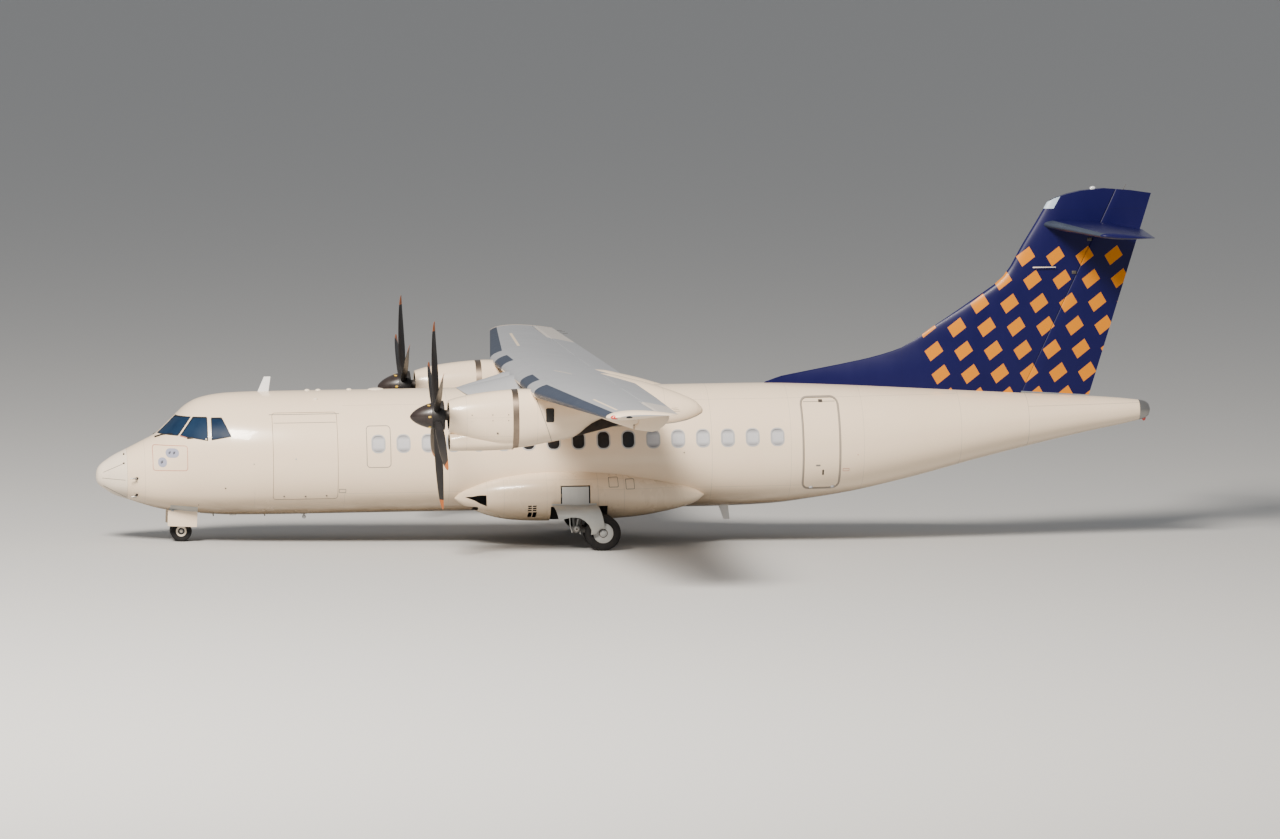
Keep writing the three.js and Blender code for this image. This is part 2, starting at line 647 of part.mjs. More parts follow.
// Landing gear fairings with the main gear bays.
const toLevel = (x, z) => {
  const turn = [Math.cos(noseDown), Math.sin(noseDown)];
  return [x * turn[0] + z * turn[1], z * turn[0] - x * turn[1]];
};
for (const { side, s } of sides) {
  const rings = sponsonRows.map(([x, top, bottom, half]) => {
    const crown = top + (top - bottom) * 0.037;
    return superRing(x, crown, bottom, half, s * sponsonMiddle, 2.6);
  });
  const upperBay = box(...around([9740, 10370], s, [1080, 2100]), [640, 1150]);
  const lowerBay = box(...around([9530, 10740], s, [900, 2100]), [200, 710]);
  const inner = box(...around([7000, 13500], s, [-400, fit]), [0, 2000]);
  const fairing = without(loft(rings), hullGrown, upperBay, lowerBay, inner);
  const padTop = at(jackPad.mainX, s * jackPad.mainY, 480);
  const pad = bar(padTop, padTop.clone().setZ(jackPad.mainZ), jackPad.radius, jackPad.radius, 20);
  addMesh("gear_fairing_" + side, joined(fairing, pad), materials.white);
}

// Main gear: leg, trailing arm and strut on each side, and the plate that hangs on the leg.
const mainHubZ = mainGear.tyre * Math.cos(Math.PI / mainGear.facets);
const [mainX, mainZ] = toLevel(mainGear.hubX, mainHubZ);
const bent = [[1790, 1126], [1812, 705], [2395, 575], [2440, 100], [2418, 98], [2374, 556], [1790, 686], [1768, 1126]];
const plateSide = [
  [9587, 712], [9767, 712], [9767, 1126], [10338, 1126], [10338, 700], [10573, 690], [10620, 240],
  [10560, 200], [10440, 110], [10376, 119], [10330, 260], [10230, 400], [10110, 465], [9985, 480], [9840, 460], [9699, 404],
];
for (const { side, s } of sides) {
  const p = (x, y, z) => at(x, s * y, z);
  const mid = mainGear.track;
  const leg = joined(
    bar(p(9740 + fit, 1430, 1010), p(10370 - fit, 1430, 1010), 62),
    bar(p(10030, 1430, 1010), p(10030, mid - 20, 300), 78, 66),
    bar(p(10030, mid - 110, 262), p(10030, mid + 110, 262), 82, 82, 16),
    bar(p(10030, mid, 262), p(mainX, mid, mainZ), 66, 52),
    bar(p(mainX, mid - 78, mainZ), p(mainX, mid + 78, mainZ), 88, 88, 16),
    bar(p(10190, 1440, 985), p(10100, mid - 15, 300), 46, 40),
    bar(p(10040, mid, 290), p(10040, 2370, 500), 20, 20, 8),
  );
  const axleBore = bar(p(mainX, mid - 200, mainZ), p(mainX, mid + 200, mainZ), 50, 50, 16);
  addMesh("main_gear_leg_" + side, without(leg, axleBore), materials.gearGrey);
  const sheet = prismX(bent.map(([y, z]) => [s * y, z]), 9500, 10800);
  const plate = sheet.intersect(prismY(plateSide, s > 0 ? 1000 : -3000, s > 0 ? 3000 : -1000));
  const passes = joined(
    bar(p(10030, 1430, 1010), p(10030, mid - 20, 300), 84, 72),
    bar(p(10190, 1440, 985), p(10100, mid - 15, 300), 52, 46),
  );
  addMesh("main_gear_door_" + side, without(plate, passes), materials.gearGrey);
}

// Wheels: a pair of rims on one axle, and a tyre on each rim.
function tyreProfile({ tyre, tyreWide, rim }) {
  const w = tyreWide / 2;
  return [[rim, -w * 0.72], [rim + 22, -w * 0.94], [mix(rim, tyre, 0.55), -w], [tyre * 0.94, -w * 0.82],
    [tyre, -w * 0.42], [tyre, w * 0.42], [tyre * 0.94, w * 0.82], [mix(rim, tyre, 0.55), w],
    [rim + 22, w * 0.94], [rim, w * 0.72], [rim, -w * 0.72]];
}
const lathed = (points, facets) => {
  const turnedBody = new THREE.LatheGeometry(points.map(([r, y]) => new THREE.Vector2(r, y)), facets);
  return turnedBody.rotateY(Math.PI / facets);
};
function rimProfile({ rim, tyreWide }, s) {
  const w = tyreWide / 2;
  return [[0, -w * 0.7 * s], [rim - 14, -w * 0.7 * s], [rim - fit, -w * 0.6 * s],
    [rim - fit, w * 0.6 * s], [rim - 30, w * 0.72 * s], [0, w * 0.72 * s]];
}
function wheelSet(gear, names, middleY, hub, axle) {
  const [x, z] = hub;
  const place = new THREE.Group();
  place.position.set(x, middleY, z);
  place.rotation.y = noseDown;
  airframe.add(place);
  let rims = bar(at(0, -gear.spacing / 2, 0), at(0, gear.spacing / 2, 0), axle, axle, 16);
  for (const [k, way] of [-1, 1].entries()) {
    const shift = [0, (way * gear.spacing) / 2, 0];
    rims = rims.add(solid(lathed(rimProfile(gear, way), gear.facets)).translate(shift));
    const tyreBody = solid(lathed(tyreProfile(gear), gear.facets)).translate(shift);
    addMesh(names.tyres[k], tyreBody, materials.tyre, place);
  }
  addMesh(names.rims, rims, materials.gearGrey, place);
}
for (const { side, s } of sides) {
  const order = s > 0 ? ["inner", "outer"] : ["outer", "inner"];
  const names = {
    rims: "main_wheels_" + side,
    tyres: order.map((place) => "main_tyre_" + side + "_" + place),
  };
  wheelSet(mainGear, names, s * mainGear.track, [mainX, mainZ], 42);
}
const noseHubZ = noseGear.tyre * Math.cos(Math.PI / noseGear.facets);
const [noseX, noseZ] = toLevel(noseGear.hubX, noseHubZ);
wheelSet(noseGear, { rims: "nose_wheels", tyres: ["nose_tyre_left", "nose_tyre_right"] }, 0, [noseX, noseZ], 26);

// Nose gear: fixed leg, steered fork, and the two doors that hang beside it.
const legX = 1790;
addMesh(
  "nose_gear_leg",
  joined(
    bar(at(legX, 0, 644), at(legX, 0, noseBay.top - fit), 62, 62, 16),
    bar(at(legX, -noseBay.half + fit, 1040), at(legX, noseBay.half - fit, 1040), 42),
    bar(at(legX, 0, 730), at(2150, 0, 1100), 30, 30, 10),
  ),
  materials.gearGrey,
);
const fork = joined(
  bar(at(legX, 0, 330), at(legX, 0, 634), 48, 48, 16),
  bar(at(legX, 0, 540), at(legX, 0, 634), 66, 66, 16),
  bar(at(legX, 0, 340), at(noseX, 0, noseZ), 46, 46, 12),
  bar(at(noseX, -58, noseZ), at(noseX, 58, noseZ), 54, 54, 16),
);
const noseBore = bar(at(noseX, -100, noseZ), at(noseX, 100, noseZ), 33, 33, 16);
addMesh("nose_gear_fork", without(fork, noseBore), materials.gearGrey);
for (const { side, s } of sides) {
  const panel = prismY([[1500, 655], [2130, 650], [2110, 290], [1488, 322]], s > 0 ? 400 : -422, s > 0 ? 422 : -400);
  const hinges = [1600, 2030].map((x) => box([x - 20, x + 20], s > 0 ? [345, 405] : [-405, -345], [600, 820]));
  addMesh("nose_gear_door_" + side, without(joined(panel, ...hinges), hull(700, 4000, fit)), materials.white);
}

airframe.rotation.y = -noseDown;
const airliner = new THREE.Group();
airliner.name = "turboprop_airliner";
airliner.add(airframe);
airliner.updateMatrixWorld(true);
const bounds = new THREE.Box3().setFromObject(airliner, true);
airliner.position.x = -(bounds.min.x + bounds.max.x) / 2;

export default airliner;
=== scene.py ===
import json
import math
from collections import defaultdict
from functools import partial, reduce

import bmesh
import bpy
from mathutils import Matrix, Vector

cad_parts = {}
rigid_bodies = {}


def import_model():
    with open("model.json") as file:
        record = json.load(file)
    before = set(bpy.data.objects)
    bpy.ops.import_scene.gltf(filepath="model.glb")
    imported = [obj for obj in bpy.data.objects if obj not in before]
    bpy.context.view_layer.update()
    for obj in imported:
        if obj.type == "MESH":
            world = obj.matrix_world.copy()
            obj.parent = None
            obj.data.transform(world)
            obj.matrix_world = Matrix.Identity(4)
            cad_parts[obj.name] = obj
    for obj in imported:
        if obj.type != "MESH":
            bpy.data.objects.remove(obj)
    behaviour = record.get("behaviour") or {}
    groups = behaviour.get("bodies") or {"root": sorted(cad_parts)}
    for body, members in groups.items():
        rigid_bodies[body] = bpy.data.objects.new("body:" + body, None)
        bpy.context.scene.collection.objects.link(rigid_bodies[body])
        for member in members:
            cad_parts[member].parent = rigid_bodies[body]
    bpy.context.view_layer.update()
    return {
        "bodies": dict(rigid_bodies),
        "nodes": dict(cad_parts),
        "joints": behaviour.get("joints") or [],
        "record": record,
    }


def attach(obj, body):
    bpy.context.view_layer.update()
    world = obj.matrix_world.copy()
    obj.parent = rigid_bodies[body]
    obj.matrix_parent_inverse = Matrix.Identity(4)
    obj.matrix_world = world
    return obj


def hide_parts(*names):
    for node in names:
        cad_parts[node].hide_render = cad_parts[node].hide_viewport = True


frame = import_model()
nodes = frame["nodes"]
print("frame loaded:", len(nodes), "parts")

# Pieces are modelled level, in metres aft of the nose tip, to starboard and up,
# and are then tipped onto their wheels.
stance = {"noseDown": math.radians(1.03), "noseTip": -11.31416}

# The photographer stood far off on the left side, a little ahead of the nose.
photo = {
    "place": (-20.164, -176.71, 17.15),
    "yaw": 6.601,  # degrees, toward the tail
    "pitch": -4.679,
    "roll": 0.566,
    "lens": 234.69,  # mm on a 36 mm sensor
}


def makeCamera():
    yaw, pitch, roll = (math.radians(photo[k]) for k in ("yaw", "pitch", "roll"))
    forward = Vector((math.sin(yaw) * math.cos(pitch), math.cos(yaw) * math.cos(pitch), math.sin(pitch)))
    level = Vector((math.cos(yaw), -math.sin(yaw), 0))
    upright = level.cross(forward)
    right = math.cos(roll) * level + math.sin(roll) * upright
    up = -math.sin(roll) * level + math.cos(roll) * upright
    turn = Matrix((right, up, -forward)).transposed().to_4x4()
    data = bpy.data.cameras.new("photoCamera")
    data.sensor_width = 36
    data.lens = photo["lens"]
    data.clip_end = 1000
    camera = bpy.data.objects.new("photoCamera", data)
    bpy.context.scene.collection.objects.link(camera)
    camera.matrix_world = Matrix.Translation(photo["place"]) @ turn
    bpy.context.scene.camera = camera


studio = {"floor": 1400, "floorTone": (0.46, 0.46, 0.455, 1), "sky": 0.42, "key": 112000, "keySize": 18,
          "keyPlace": (-25, -45, 45)}


def makeStudio():
    bpy.ops.object.select_all(action="DESELECT")
    bpy.ops.mesh.primitive_plane_add(size=studio["floor"], location=(0, 0, 0))
    floor = bpy.context.object
    floor.name = "studioFloor"
    material = bpy.data.materials.new("paleFloor")
    material.use_nodes = True
    surface = material.node_tree.nodes["Principled BSDF"]
    surface.inputs["Base Color"].default_value = studio["floorTone"]
    surface.inputs["Roughness"].default_value = 0.9
    floor.data.materials.append(material)
    world = bpy.data.worlds.new("softSky")
    world.use_nodes = True
    sky = world.node_tree.nodes["Background"]
    sky.inputs["Color"].default_value = (0.95, 0.97, 1, 1)
    sky.inputs["Strength"].default_value = studio["sky"]
    bpy.context.scene.world = world
    bpy.ops.object.light_add(type="AREA", location=studio["keyPlace"])
    lamp = bpy.context.object
    lamp.name = "softKey"
    lamp.data.energy = studio["key"]
    lamp.data.size = studio["keySize"]
    lamp.data.color = (1, 0.93, 0.84)
    lamp.rotation_euler = (Vector((0, 0, 3)) - Vector(lamp.location)).to_track_quat("-Z", "Y").to_euler()


makeCamera()
makeStudio()
print("camera and studio ready")


# Shared shader groups.
def newGroup(name, inputs, outputs):
    group = bpy.data.node_groups.new(name, "ShaderNodeTree")
    for way, sockets in (("INPUT", inputs), ("OUTPUT", outputs)):
        for label, kind in sockets:
            group.interface.new_socket(label, in_out=way, socket_type="NodeSocket" + kind)
    return group, group.nodes.new("NodeGroupInput").outputs, group.nodes.new("NodeGroupOutput").inputs


# Links a socket to another node's output, or sets it.
def feed(tree, socket, value):
    if isinstance(value, bpy.types.NodeSocket):
        tree.links.new(value, socket)
    else:
        socket.default_value = (*value, 1) if socket.type == "RGBA" else value


def fedNode(tree, kind, values, group=None):
    node = tree.nodes.new("ShaderNode" + kind)
    if group:
        node.node_tree = group
    for label, value in values.items():
        feed(tree, node.inputs[label], value)
    return node.outputs


def mathNode(tree, operation, *values, clamp=False):
    node = tree.nodes.new("ShaderNodeMath")
    node.operation = operation
    node.use_clamp = clamp
    for socket, value in zip(node.inputs, values):
        feed(tree, socket, value)
    return node.outputs[0]


def noiseNode(tree, place, scale, detail, roughness=0.5):
    values = {"Vector": place, "Scale": scale, "Detail": detail, "Roughness": roughness}
    return fedNode(tree, "TexNoise", values)["Fac"]


def stretched(tree, place, scale):
    return fedNode(tree, "Mapping", {"Vector": place, "Scale": scale})["Vector"]


def mixColor(tree, factor, first, second):
    node = tree.nodes.new("ShaderNodeMix")
    node.data_type = "RGBA"
    for number, value in ((0, factor), (6, first), (7, second)):
        feed(tree, node.inputs[number], value)
    return node.outputs[2]


effects = {
    "patchDetail": (4.0, 0.6), "streakStretch": (2.2, 2.2, 0.35), "streakDetail": (5.0, 0.65),
    "wornGain": 3.2, "wornStart": -1.1, "wornRough": 0.22, "skinDetail": 2.0,
    "seamGain": -3.0, "seamStart": 2.0, "seamDark": 0.75, "seamDeep": 6.0,
    "lowToneStretch": (0.5, 1.5, 1.5), "lowToneNoise": (2.5, 5.0, 0.65), "lowToneGain": 1.1, "lowToneStart": 0.3,
    "bumpReach": 0.01, "coatRough": 0.06,
}


# Weathering: slow changes of tone, a fine skin and changes of gloss.
def makeWeathering():
    group, entry, leave = newGroup(
        "weathering",
        [("Place", "Vector"), ("Clean", "Color"), ("Worn", "Color"), ("Amount", "Float"),
         ("Gloss", "Float"), ("Patch Scale", "Float"), ("Skin Scale", "Float")],
        [("Color", "Color"), ("Roughness", "Float"), ("Height", "Float")])
    calc = partial(mathNode, group)
    place, scale = entry["Place"], entry["Patch Scale"]
    patches = noiseNode(group, place, scale, *effects["patchDetail"])
    drawn = stretched(group, place, effects["streakStretch"])
    streaks = noiseNode(group, drawn, scale, *effects["streakDetail"])
    both = calc("MULTIPLY_ADD", patches, 0.5, calc("MULTIPLY", streaks, 0.5))
    spread = calc("MULTIPLY_ADD", both, effects["wornGain"], effects["wornStart"], clamp=True)
    share = calc("MULTIPLY", spread, entry["Amount"], clamp=True)
    feed(group, leave["Color"], mixColor(group, share, entry["Clean"], entry["Worn"]))
    lift = calc("MULTIPLY", share, effects["wornRough"])
    feed(group, leave["Roughness"], calc("ADD", lift, entry["Gloss"], clamp=True))
    feed(group, leave["Height"], noiseNode(group, place, entry["Skin Scale"], effects["skinDetail"]))
    return group


# A panel seam: one where a value lies within half a width of a station.
def makeSeamLine():
    group, entry, leave = newGroup(
        "seamLine", [("Value", "Float"), ("Station", "Float"), ("Width", "Float")], [("Mask", "Float")])
    calc = partial(mathNode, group)
    gap = calc("ABSOLUTE", calc("SUBTRACT", entry["Value"], entry["Station"]))
    share = calc("DIVIDE", gap, entry["Width"])
    mask = calc("MULTIPLY_ADD", share, effects["seamGain"], effects["seamStart"], clamp=True)
    feed(group, leave["Mask"], mask)
    return group


# Dust thrown up by the wheels, with painted ground reflection and shade on the belly: strongest low down,
# broken up along the way.
def makeRoadDust():
    group, entry, leave = newGroup(
        "roadDust", [("Place", "Vector"), ("Height", "Float"), ("Top", "Float"), ("Reach", "Float")],
        [("Mask", "Float")])
    calc = partial(mathNode, group)
    share = calc("DIVIDE", calc("SUBTRACT", entry["Top"], entry["Height"]), entry["Reach"], clamp=True)
    spread = noiseNode(group, stretched(group, entry["Place"], effects["lowToneStretch"]), *effects["lowToneNoise"])
    spread = calc("MULTIPLY_ADD", spread, effects["lowToneGain"], effects["lowToneStart"])
    feed(group, leave["Mask"], calc("MULTIPLY", share, spread, clamp=True))
    return group


weathering = makeWeathering()
seamLine = makeSeamLine()
roadDust = makeRoadDust()
finishes = {}


# Seams are given as axis, station and width in metres, and may have a range on another axis.
# The low tone, road dust with painted ground reflection and shade, is given as its top, its reach down from
# there and its tone.
def addFinish(name, clean, worn, gloss, amount=0.35, metal=0.0, coat=0.0, patch=0.5, skin=40.0, bump=0.03,
              seams=(), seamTone=(0.16, 0.15, 0.14), dust=None, pattern=None, specular=0.5):
    material = bpy.data.materials.new(name)
    material.use_nodes = True
    tree = material.node_tree
    calc = partial(mathNode, tree)
    turn, tip = stance["noseDown"], stance["noseTip"]
    place = fedNode(tree, "Mapping", {
        "Vector": tree.nodes.new("ShaderNodeTexCoord").outputs["Object"], "Rotation": (0, turn, 0),
        "Location": (-tip * math.cos(turn), 0, tip * math.sin(turn))})["Vector"]
    wear = fedNode(tree, "Group", {
        "Place": place, "Clean": clean, "Worn": worn, "Amount": amount, "Gloss": gloss,
        "Patch Scale": patch, "Skin Scale": skin}, weathering)
    color, height = wear["Color"], wear["Height"]
    axes = dict(zip("xyz", fedNode(tree, "SeparateXYZ", {"Vector": place})))
    if pattern:
        color = pattern(tree, axes, color)
    # A brown low tone: road dust, and painted ground reflection and shade on the belly.
    if dust:
        top, reach, tone = dust
        values = {"Place": place, "Height": axes["z"], "Top": top, "Reach": reach}
        dustAndReflectionMask = fedNode(tree, "Group", values, roadDust)
        color = mixColor(tree, dustAndReflectionMask["Mask"], color, tone)
    if seams:
        masks = []
        for axis, station, width, *span in seams:
            values = {"Value": axes[axis], "Station": station, "Width": width / 2}
            masks.append(fedNode(tree, "Group", values, seamLine)["Mask"])
            for other, low, high in span:
                inside = calc("COMPARE", axes[other], (low + high) / 2, (high - low) / 2)
                masks[-1] = calc("MULTIPLY", masks[-1], inside)
        total = reduce(partial(calc, "MAXIMUM"), masks)
        color = mixColor(tree, calc("MULTIPLY", total, effects["seamDark"]), color, seamTone)
        height = calc("SUBTRACT", height, calc("MULTIPLY", total, effects["seamDeep"]))
    relief = fedNode(tree, "Bump", {"Strength": bump, "Distance": effects["bumpReach"], "Height": height})
    surface = tree.nodes["Principled BSDF"].inputs
    for label, value in (("Base Color", color), ("Roughness", wear["Roughness"]), ("Normal", relief["Normal"]),
                         ("Metallic", metal), ("Specular IOR Level", specular), ("Coat Weight", coat),
                         ("Coat Roughness", effects["coatRough"])):
        feed(tree, surface[label], value)
    finishes[name] = material


# Plain orange lozenges in staggered rows over the lower part of the tail.
lozenges = {"stepX": 0.64, "stepZ": 0.5, "halfX": 0.2, "halfZ": 0.215, "lean": 0.36, "from": 17.75, "top": 6.0,
            "tone": (0.56, 0.185, 0.0)}


def lozengePattern(tree, axes, color):
    calc = partial(mathNode, tree)
    rowPlace = calc("DIVIDE", axes["z"], lozenges["stepZ"])
    odd = calc("FRACT", calc("MULTIPLY", calc("FLOOR", rowPlace), 0.5))
    leaning = calc("SUBTRACT", axes["x"], calc("MULTIPLY", axes["z"], lozenges["lean"]))
    along = calc("ADD", calc("DIVIDE", leaning, lozenges["stepX"]), odd)
    shares = [calc("MULTIPLY", calc("ABSOLUTE", calc("SUBTRACT", calc("FRACT", place), 0.5)), step / half)
              for place, step, half in ((along, lozenges["stepX"], lozenges["halfX"]),
                                        (rowPlace, lozenges["stepZ"], lozenges["halfZ"]))]
    inside = calc("LESS_THAN", calc("ADD", *shares), 1.0)
    aft = calc("GREATER_THAN", axes["x"], lozenges["from"])
    low = calc("LESS_THAN", axes["z"], lozenges["top"])
    return mixColor(tree, calc("MULTIPLY", inside, calc("MULTIPLY", aft, low)), color, lozenges["tone"])


# Pale strips on top of the wing: y range, x where the strip's line meets the middle, lean and half width.
wingStrips = {"tone": (0.74, 0.6, 0.44), "rows": [
    (5.55, 9.5, 9.303, 0.054, 0.03), (-11.7, -9.0, 9.071, -0.0666, 0.022), (-2.43, -1.65, 9.006, -0.381, 0.02)]}


def wingPattern(tree, axes, color):
    calc = partial(mathNode, tree)
    masks = []
    for y0, y1, start, lean, half in wingStrips["rows"]:
        line = calc("SUBTRACT", axes["x"], calc("MULTIPLY", axes["y"], lean))
        gap = calc("ABSOLUTE", calc("SUBTRACT", line, start))
        along = calc("ABSOLUTE", calc("SUBTRACT", axes["y"], (y0 + y1) / 2))
        masks.append(calc("MULTIPLY", calc("LESS_THAN", gap, half), calc("LESS_THAN", along, (y1 - y0) / 2)))
    return mixColor(tree, reduce(partial(calc, "MAXIMUM"), masks), color, wingStrips["tone"])


blindShade = {"middle": 2.075, "gain": 9.0, "start": -0.72, "tone": (0.14, 0.14, 0.15)}


# Painted shade: the window blinds darken toward the top and bottom of each opening, where the frame shades
# them.
def blindPattern(tree, axes, color):
    calc = partial(mathNode, tree)
    rise = calc("ABSOLUTE", calc("SUBTRACT", axes["z"], blindShade["middle"]))
    return mixColor(tree, calc("MULTIPLY_ADD", rise, blindShade["gain"], blindShade["start"], clamp=True), color,
                    blindShade["tone"])


cabinSeams = [
    ("x", 1.01, 0.009), ("x", 3.3, 0.008, ("z", 0.4, 1.1)), ("x", 5.2, 0.009, ("z", 0.4, 1.05)),
    ("x", 7.42, 0.01), ("x", 13.02, 0.011), ("x", 14.72, 0.009), ("x", 16.3, 0.009),
    ("x", 18.437, 0.011), ("x", 19.939, 0.018), ("x", 22.434, 0.01),
    ("z", 2.575, 0.016, ("x", 19.94, 22.43)), ("z", 1.02, 0.008, ("x", 5.2, 15.0)),
    ("z", 2.86, 0.008, ("x", 5.2, 18.4)),
]
nacelleSeams = [("x", 7.516, 0.009), ("x", 8.99, 0.009), ("z", 2.85, 0.007, ("x", 7.516, 8.46)),
                ("z", 2.45, 0.007, ("x", 7.74, 8.46))]
fairingSeams = [("x", 8.2, 0.008), ("x", 8.55, 0.008), ("x", 10.537, 0.009), ("x", 11.098, 0.009),
                ("x", 9.45, 0.007), ("z", 1.27, 0.006, ("x", 8.2, 11.1)),
                ("z", 1.05, 0.006, ("x", 10.54, 12.4))]
wingSeams = [("x", 9.28, 0.008), ("y", -4.54, 0.01), ("y", 4.54, 0.01), ("y", -1.5, 0.008),
             ("y", 1.5, 0.008), ("y", -8.9, 0.008), ("y", 8.9, 0.008), ("x", 10.45, 0.008)]
aileronSeams = [("y", s * (9.3 + k * 0.52), 0.008) for s in (-1, 1) for k in range(5)]
bootSeams = [("y", s * (5.2 + k * 0.9), 0.012) for s in (-1, 1) for k in range(8)]
white, indigo = (0.84, 0.675, 0.495), ((0.0035, 0.003, 0.046), (0.008, 0.007, 0.07))

# The brown low tone on the cabin, fairing and nose is painted ground reflection and shade, with some road dust.
addFinish("cabinPaint", white, (0.77, 0.595, 0.415), 0.2, coat=0.35, patch=0.35, skin=9.0, bump=0.02,
          seams=cabinSeams, seamTone=(0.34, 0.3, 0.26), dust=(1.0, 0.46, (0.16, 0.1, 0.04)))
addFinish("nacellePaint", white, (0.76, 0.59, 0.41), 0.22, coat=0.35, patch=0.6, skin=12.0, bump=0.02,
          seams=nacelleSeams, seamTone=(0.36, 0.33, 0.29))
addFinish("fairingPaint", (0.83, 0.67, 0.49), (0.72, 0.56, 0.39), 0.24, coat=0.3, patch=0.6, skin=12.0,
          bump=0.02, seams=fairingSeams, seamTone=(0.34, 0.31, 0.27), dust=(0.85, 0.6, (0.2, 0.13, 0.055)))
addFinish("saddlePaint", white, (0.76, 0.59, 0.41), 0.22, coat=0.3, patch=0.6, skin=12.0, bump=0.02,
          seams=[("x", 12.04, 0.01), ("x", 9.25, 0.009)], seamTone=(0.3, 0.26, 0.22))
addFinish("nosePaint", (0.8, 0.69, 0.56), (0.74, 0.61, 0.47), 0.28, coat=0.2, skin=14.0,
          dust=(1.2, 0.5, (0.2, 0.14, 0.07)))
addFinish("wingGrey", (0.32, 0.33, 0.35), (0.25, 0.262, 0.285), 0.38, patch=1.2, skin=30.0, pattern=wingPattern,
          seams=wingSeams, seamTone=(0.2, 0.22, 0.25))
addFinish("aileronPale", (0.5, 0.46, 0.42), (0.4, 0.37, 0.33), 0.36, patch=1.4, skin=20.0, seams=aileronSeams)
addFinish("wingWhite", (0.82, 0.665, 0.5), (0.68, 0.54, 0.4), 0.3, patch=1.0, skin=20.0)
addFinish("boot", (0.018, 0.027, 0.05), (0.035, 0.048, 0.075), 0.5, amount=0.6, patch=2.0, skin=60.0, bump=0.08,
          seams=bootSeams, seamTone=(0.02, 0.025, 0.04))
addFinish("indigo", *indigo, 0.3, coat=0.03, patch=0.8, skin=16.0, specular=0.25,
          seams=[("x", 17.293, 0.008), ("z", 6.75, 0.01)], seamTone=(0.005, 0.005, 0.03))
addFinish("lozengePaint", *indigo, 0.32, coat=0.02, patch=0.8, skin=16.0, specular=0.2, pattern=lozengePattern,
          seams=[("z", 6.75, 0.01), ("x", 17.293, 0.008)], seamTone=(0.005, 0.005, 0.03))
addFinish("exhaust", (0.01, 0.0075, 0.006), (0.045, 0.03, 0.022), 0.5, amount=0.8, metal=0.4,
          patch=6.0, specular=0.25)
addFinish("plateGrey", (0.34, 0.355, 0.35), (0.26, 0.265, 0.255), 0.34, amount=0.5, patch=3.0,
          dust=(0.6, 0.9, (0.2, 0.18, 0.14)))
# A lighter copy of the plate grey for the upper door panel: painted light that lifts it out of the shade under
# the wing.
addFinish("panelGrey", (0.56, 0.575, 0.565), (0.45, 0.46, 0.45), 0.34, amount=0.5, patch=3.0)
addFinish("gearGrey", (0.44, 0.46, 0.46), (0.3, 0.31, 0.31), 0.38, amount=0.5, patch=4.0,
          dust=(0.5, 0.9, (0.2, 0.18, 0.15)))
# The legs get a darker copy of the gear grey: painted shade.
addFinish("legGrey", (0.15, 0.155, 0.16), (0.09, 0.09, 0.09), 0.4, amount=0.6, patch=5.0,
          dust=(0.5, 0.9, (0.1, 0.085, 0.065)))
addFinish("blade", (0.009, 0.008, 0.009), (0.03, 0.027, 0.025), 0.42, amount=0.5, patch=5.0, specular=0.3)
addFinish("bladeTip", (0.4, 0.1, 0.012), (0.22, 0.07, 0.012), 0.4, patch=8.0)
addFinish("spinner", (0.016, 0.01, 0.009), (0.034, 0.023, 0.019), 0.3, amount=0.5, patch=4.0, coat=0.2)
addFinish("yellowMark", (0.78, 0.5, 0.05), (0.6, 0.38, 0.05), 0.4, patch=9.0)
addFinish("polished", (0.36, 0.28, 0.21), (0.2, 0.15, 0.115), 0.26, amount=0.7, metal=1.0, patch=3.0)
addFinish("steel", (0.42, 0.41, 0.39), (0.28, 0.26, 0.24), 0.32, amount=0.5, metal=1.0, patch=6.0)
addFinish("darkMetal", (0.06, 0.055, 0.05), (0.12, 0.1, 0.085), 0.5, amount=0.6, metal=0.6, patch=5.0)
# Near black: the cockpit pane seals, and painted shade on the walls of cut openings, bays, vents, the exhaust
# bore and the gap ahead of the rudder.
addFinish("darkVoid", (0.012, 0.012, 0.012), (0.03, 0.028, 0.026), 0.8, patch=6.0)
addFinish("tyre", (0.006, 0.006, 0.007), (0.022, 0.02, 0.018), 0.78, amount=0.7, patch=9.0, skin=120.0,
          bump=0.2, specular=0.25)
addFinish("pane", (0.006, 0.016, 0.04), (0.014, 0.034, 0.07), 0.26, amount=0.7, patch=1.6, bump=0.0,
          specular=0.04)
addFinish("blind", (0.5, 0.5, 0.52), (0.4, 0.4, 0.42), 0.25, coat=0.3, patch=7.0, bump=0.0,
          pattern=blindPattern)
# Dark glass: the tip lamps' rear lens, and painted shade on the cabin windows where the wing's shadow falls.
addFinish("cabinGlass", (0.012, 0.013, 0.016), (0.035, 0.035, 0.037), 0.12, patch=6.0, bump=0.0, specular=0.3)
addFinish("rimGrey", (0.42, 0.42, 0.43), (0.34, 0.33, 0.33), 0.35, patch=8.0)
addFinish("sealGrey", (0.2, 0.185, 0.165), (0.15, 0.14, 0.125), 0.5, patch=5.0)
addFinish("lining", (0.34, 0.33, 0.31), (0.27, 0.26, 0.24), 0.6, patch=3.0)
addFinish("doorTrim", (0.3, 0.255, 0.21), (0.22, 0.185, 0.15), 0.45, patch=5.0)
addFinish("ovalGrey", (0.3, 0.31, 0.4), (0.24, 0.25, 0.33), 0.4, patch=9.0)
addFinish("thinLine", (0.5, 0.2, 0.14), (0.42, 0.18, 0.13), 0.45, patch=6.0)
addFinish("blueGrey", (0.12, 0.13, 0.175), (0.085, 0.095, 0.13), 0.4, patch=9.0)
addFinish("paleBlue", (0.4, 0.5, 0.6), (0.32, 0.41, 0.5), 0.3, patch=5.0)
addFinish("hubWhite", (0.8, 0.7, 0.57), (0.58, 0.5, 0.4), 0.35, patch=8.0)
addFinish("redLamp", (0.6, 0.03, 0.015), (0.45, 0.02, 0.012), 0.1, coat=1.0, patch=12.0)
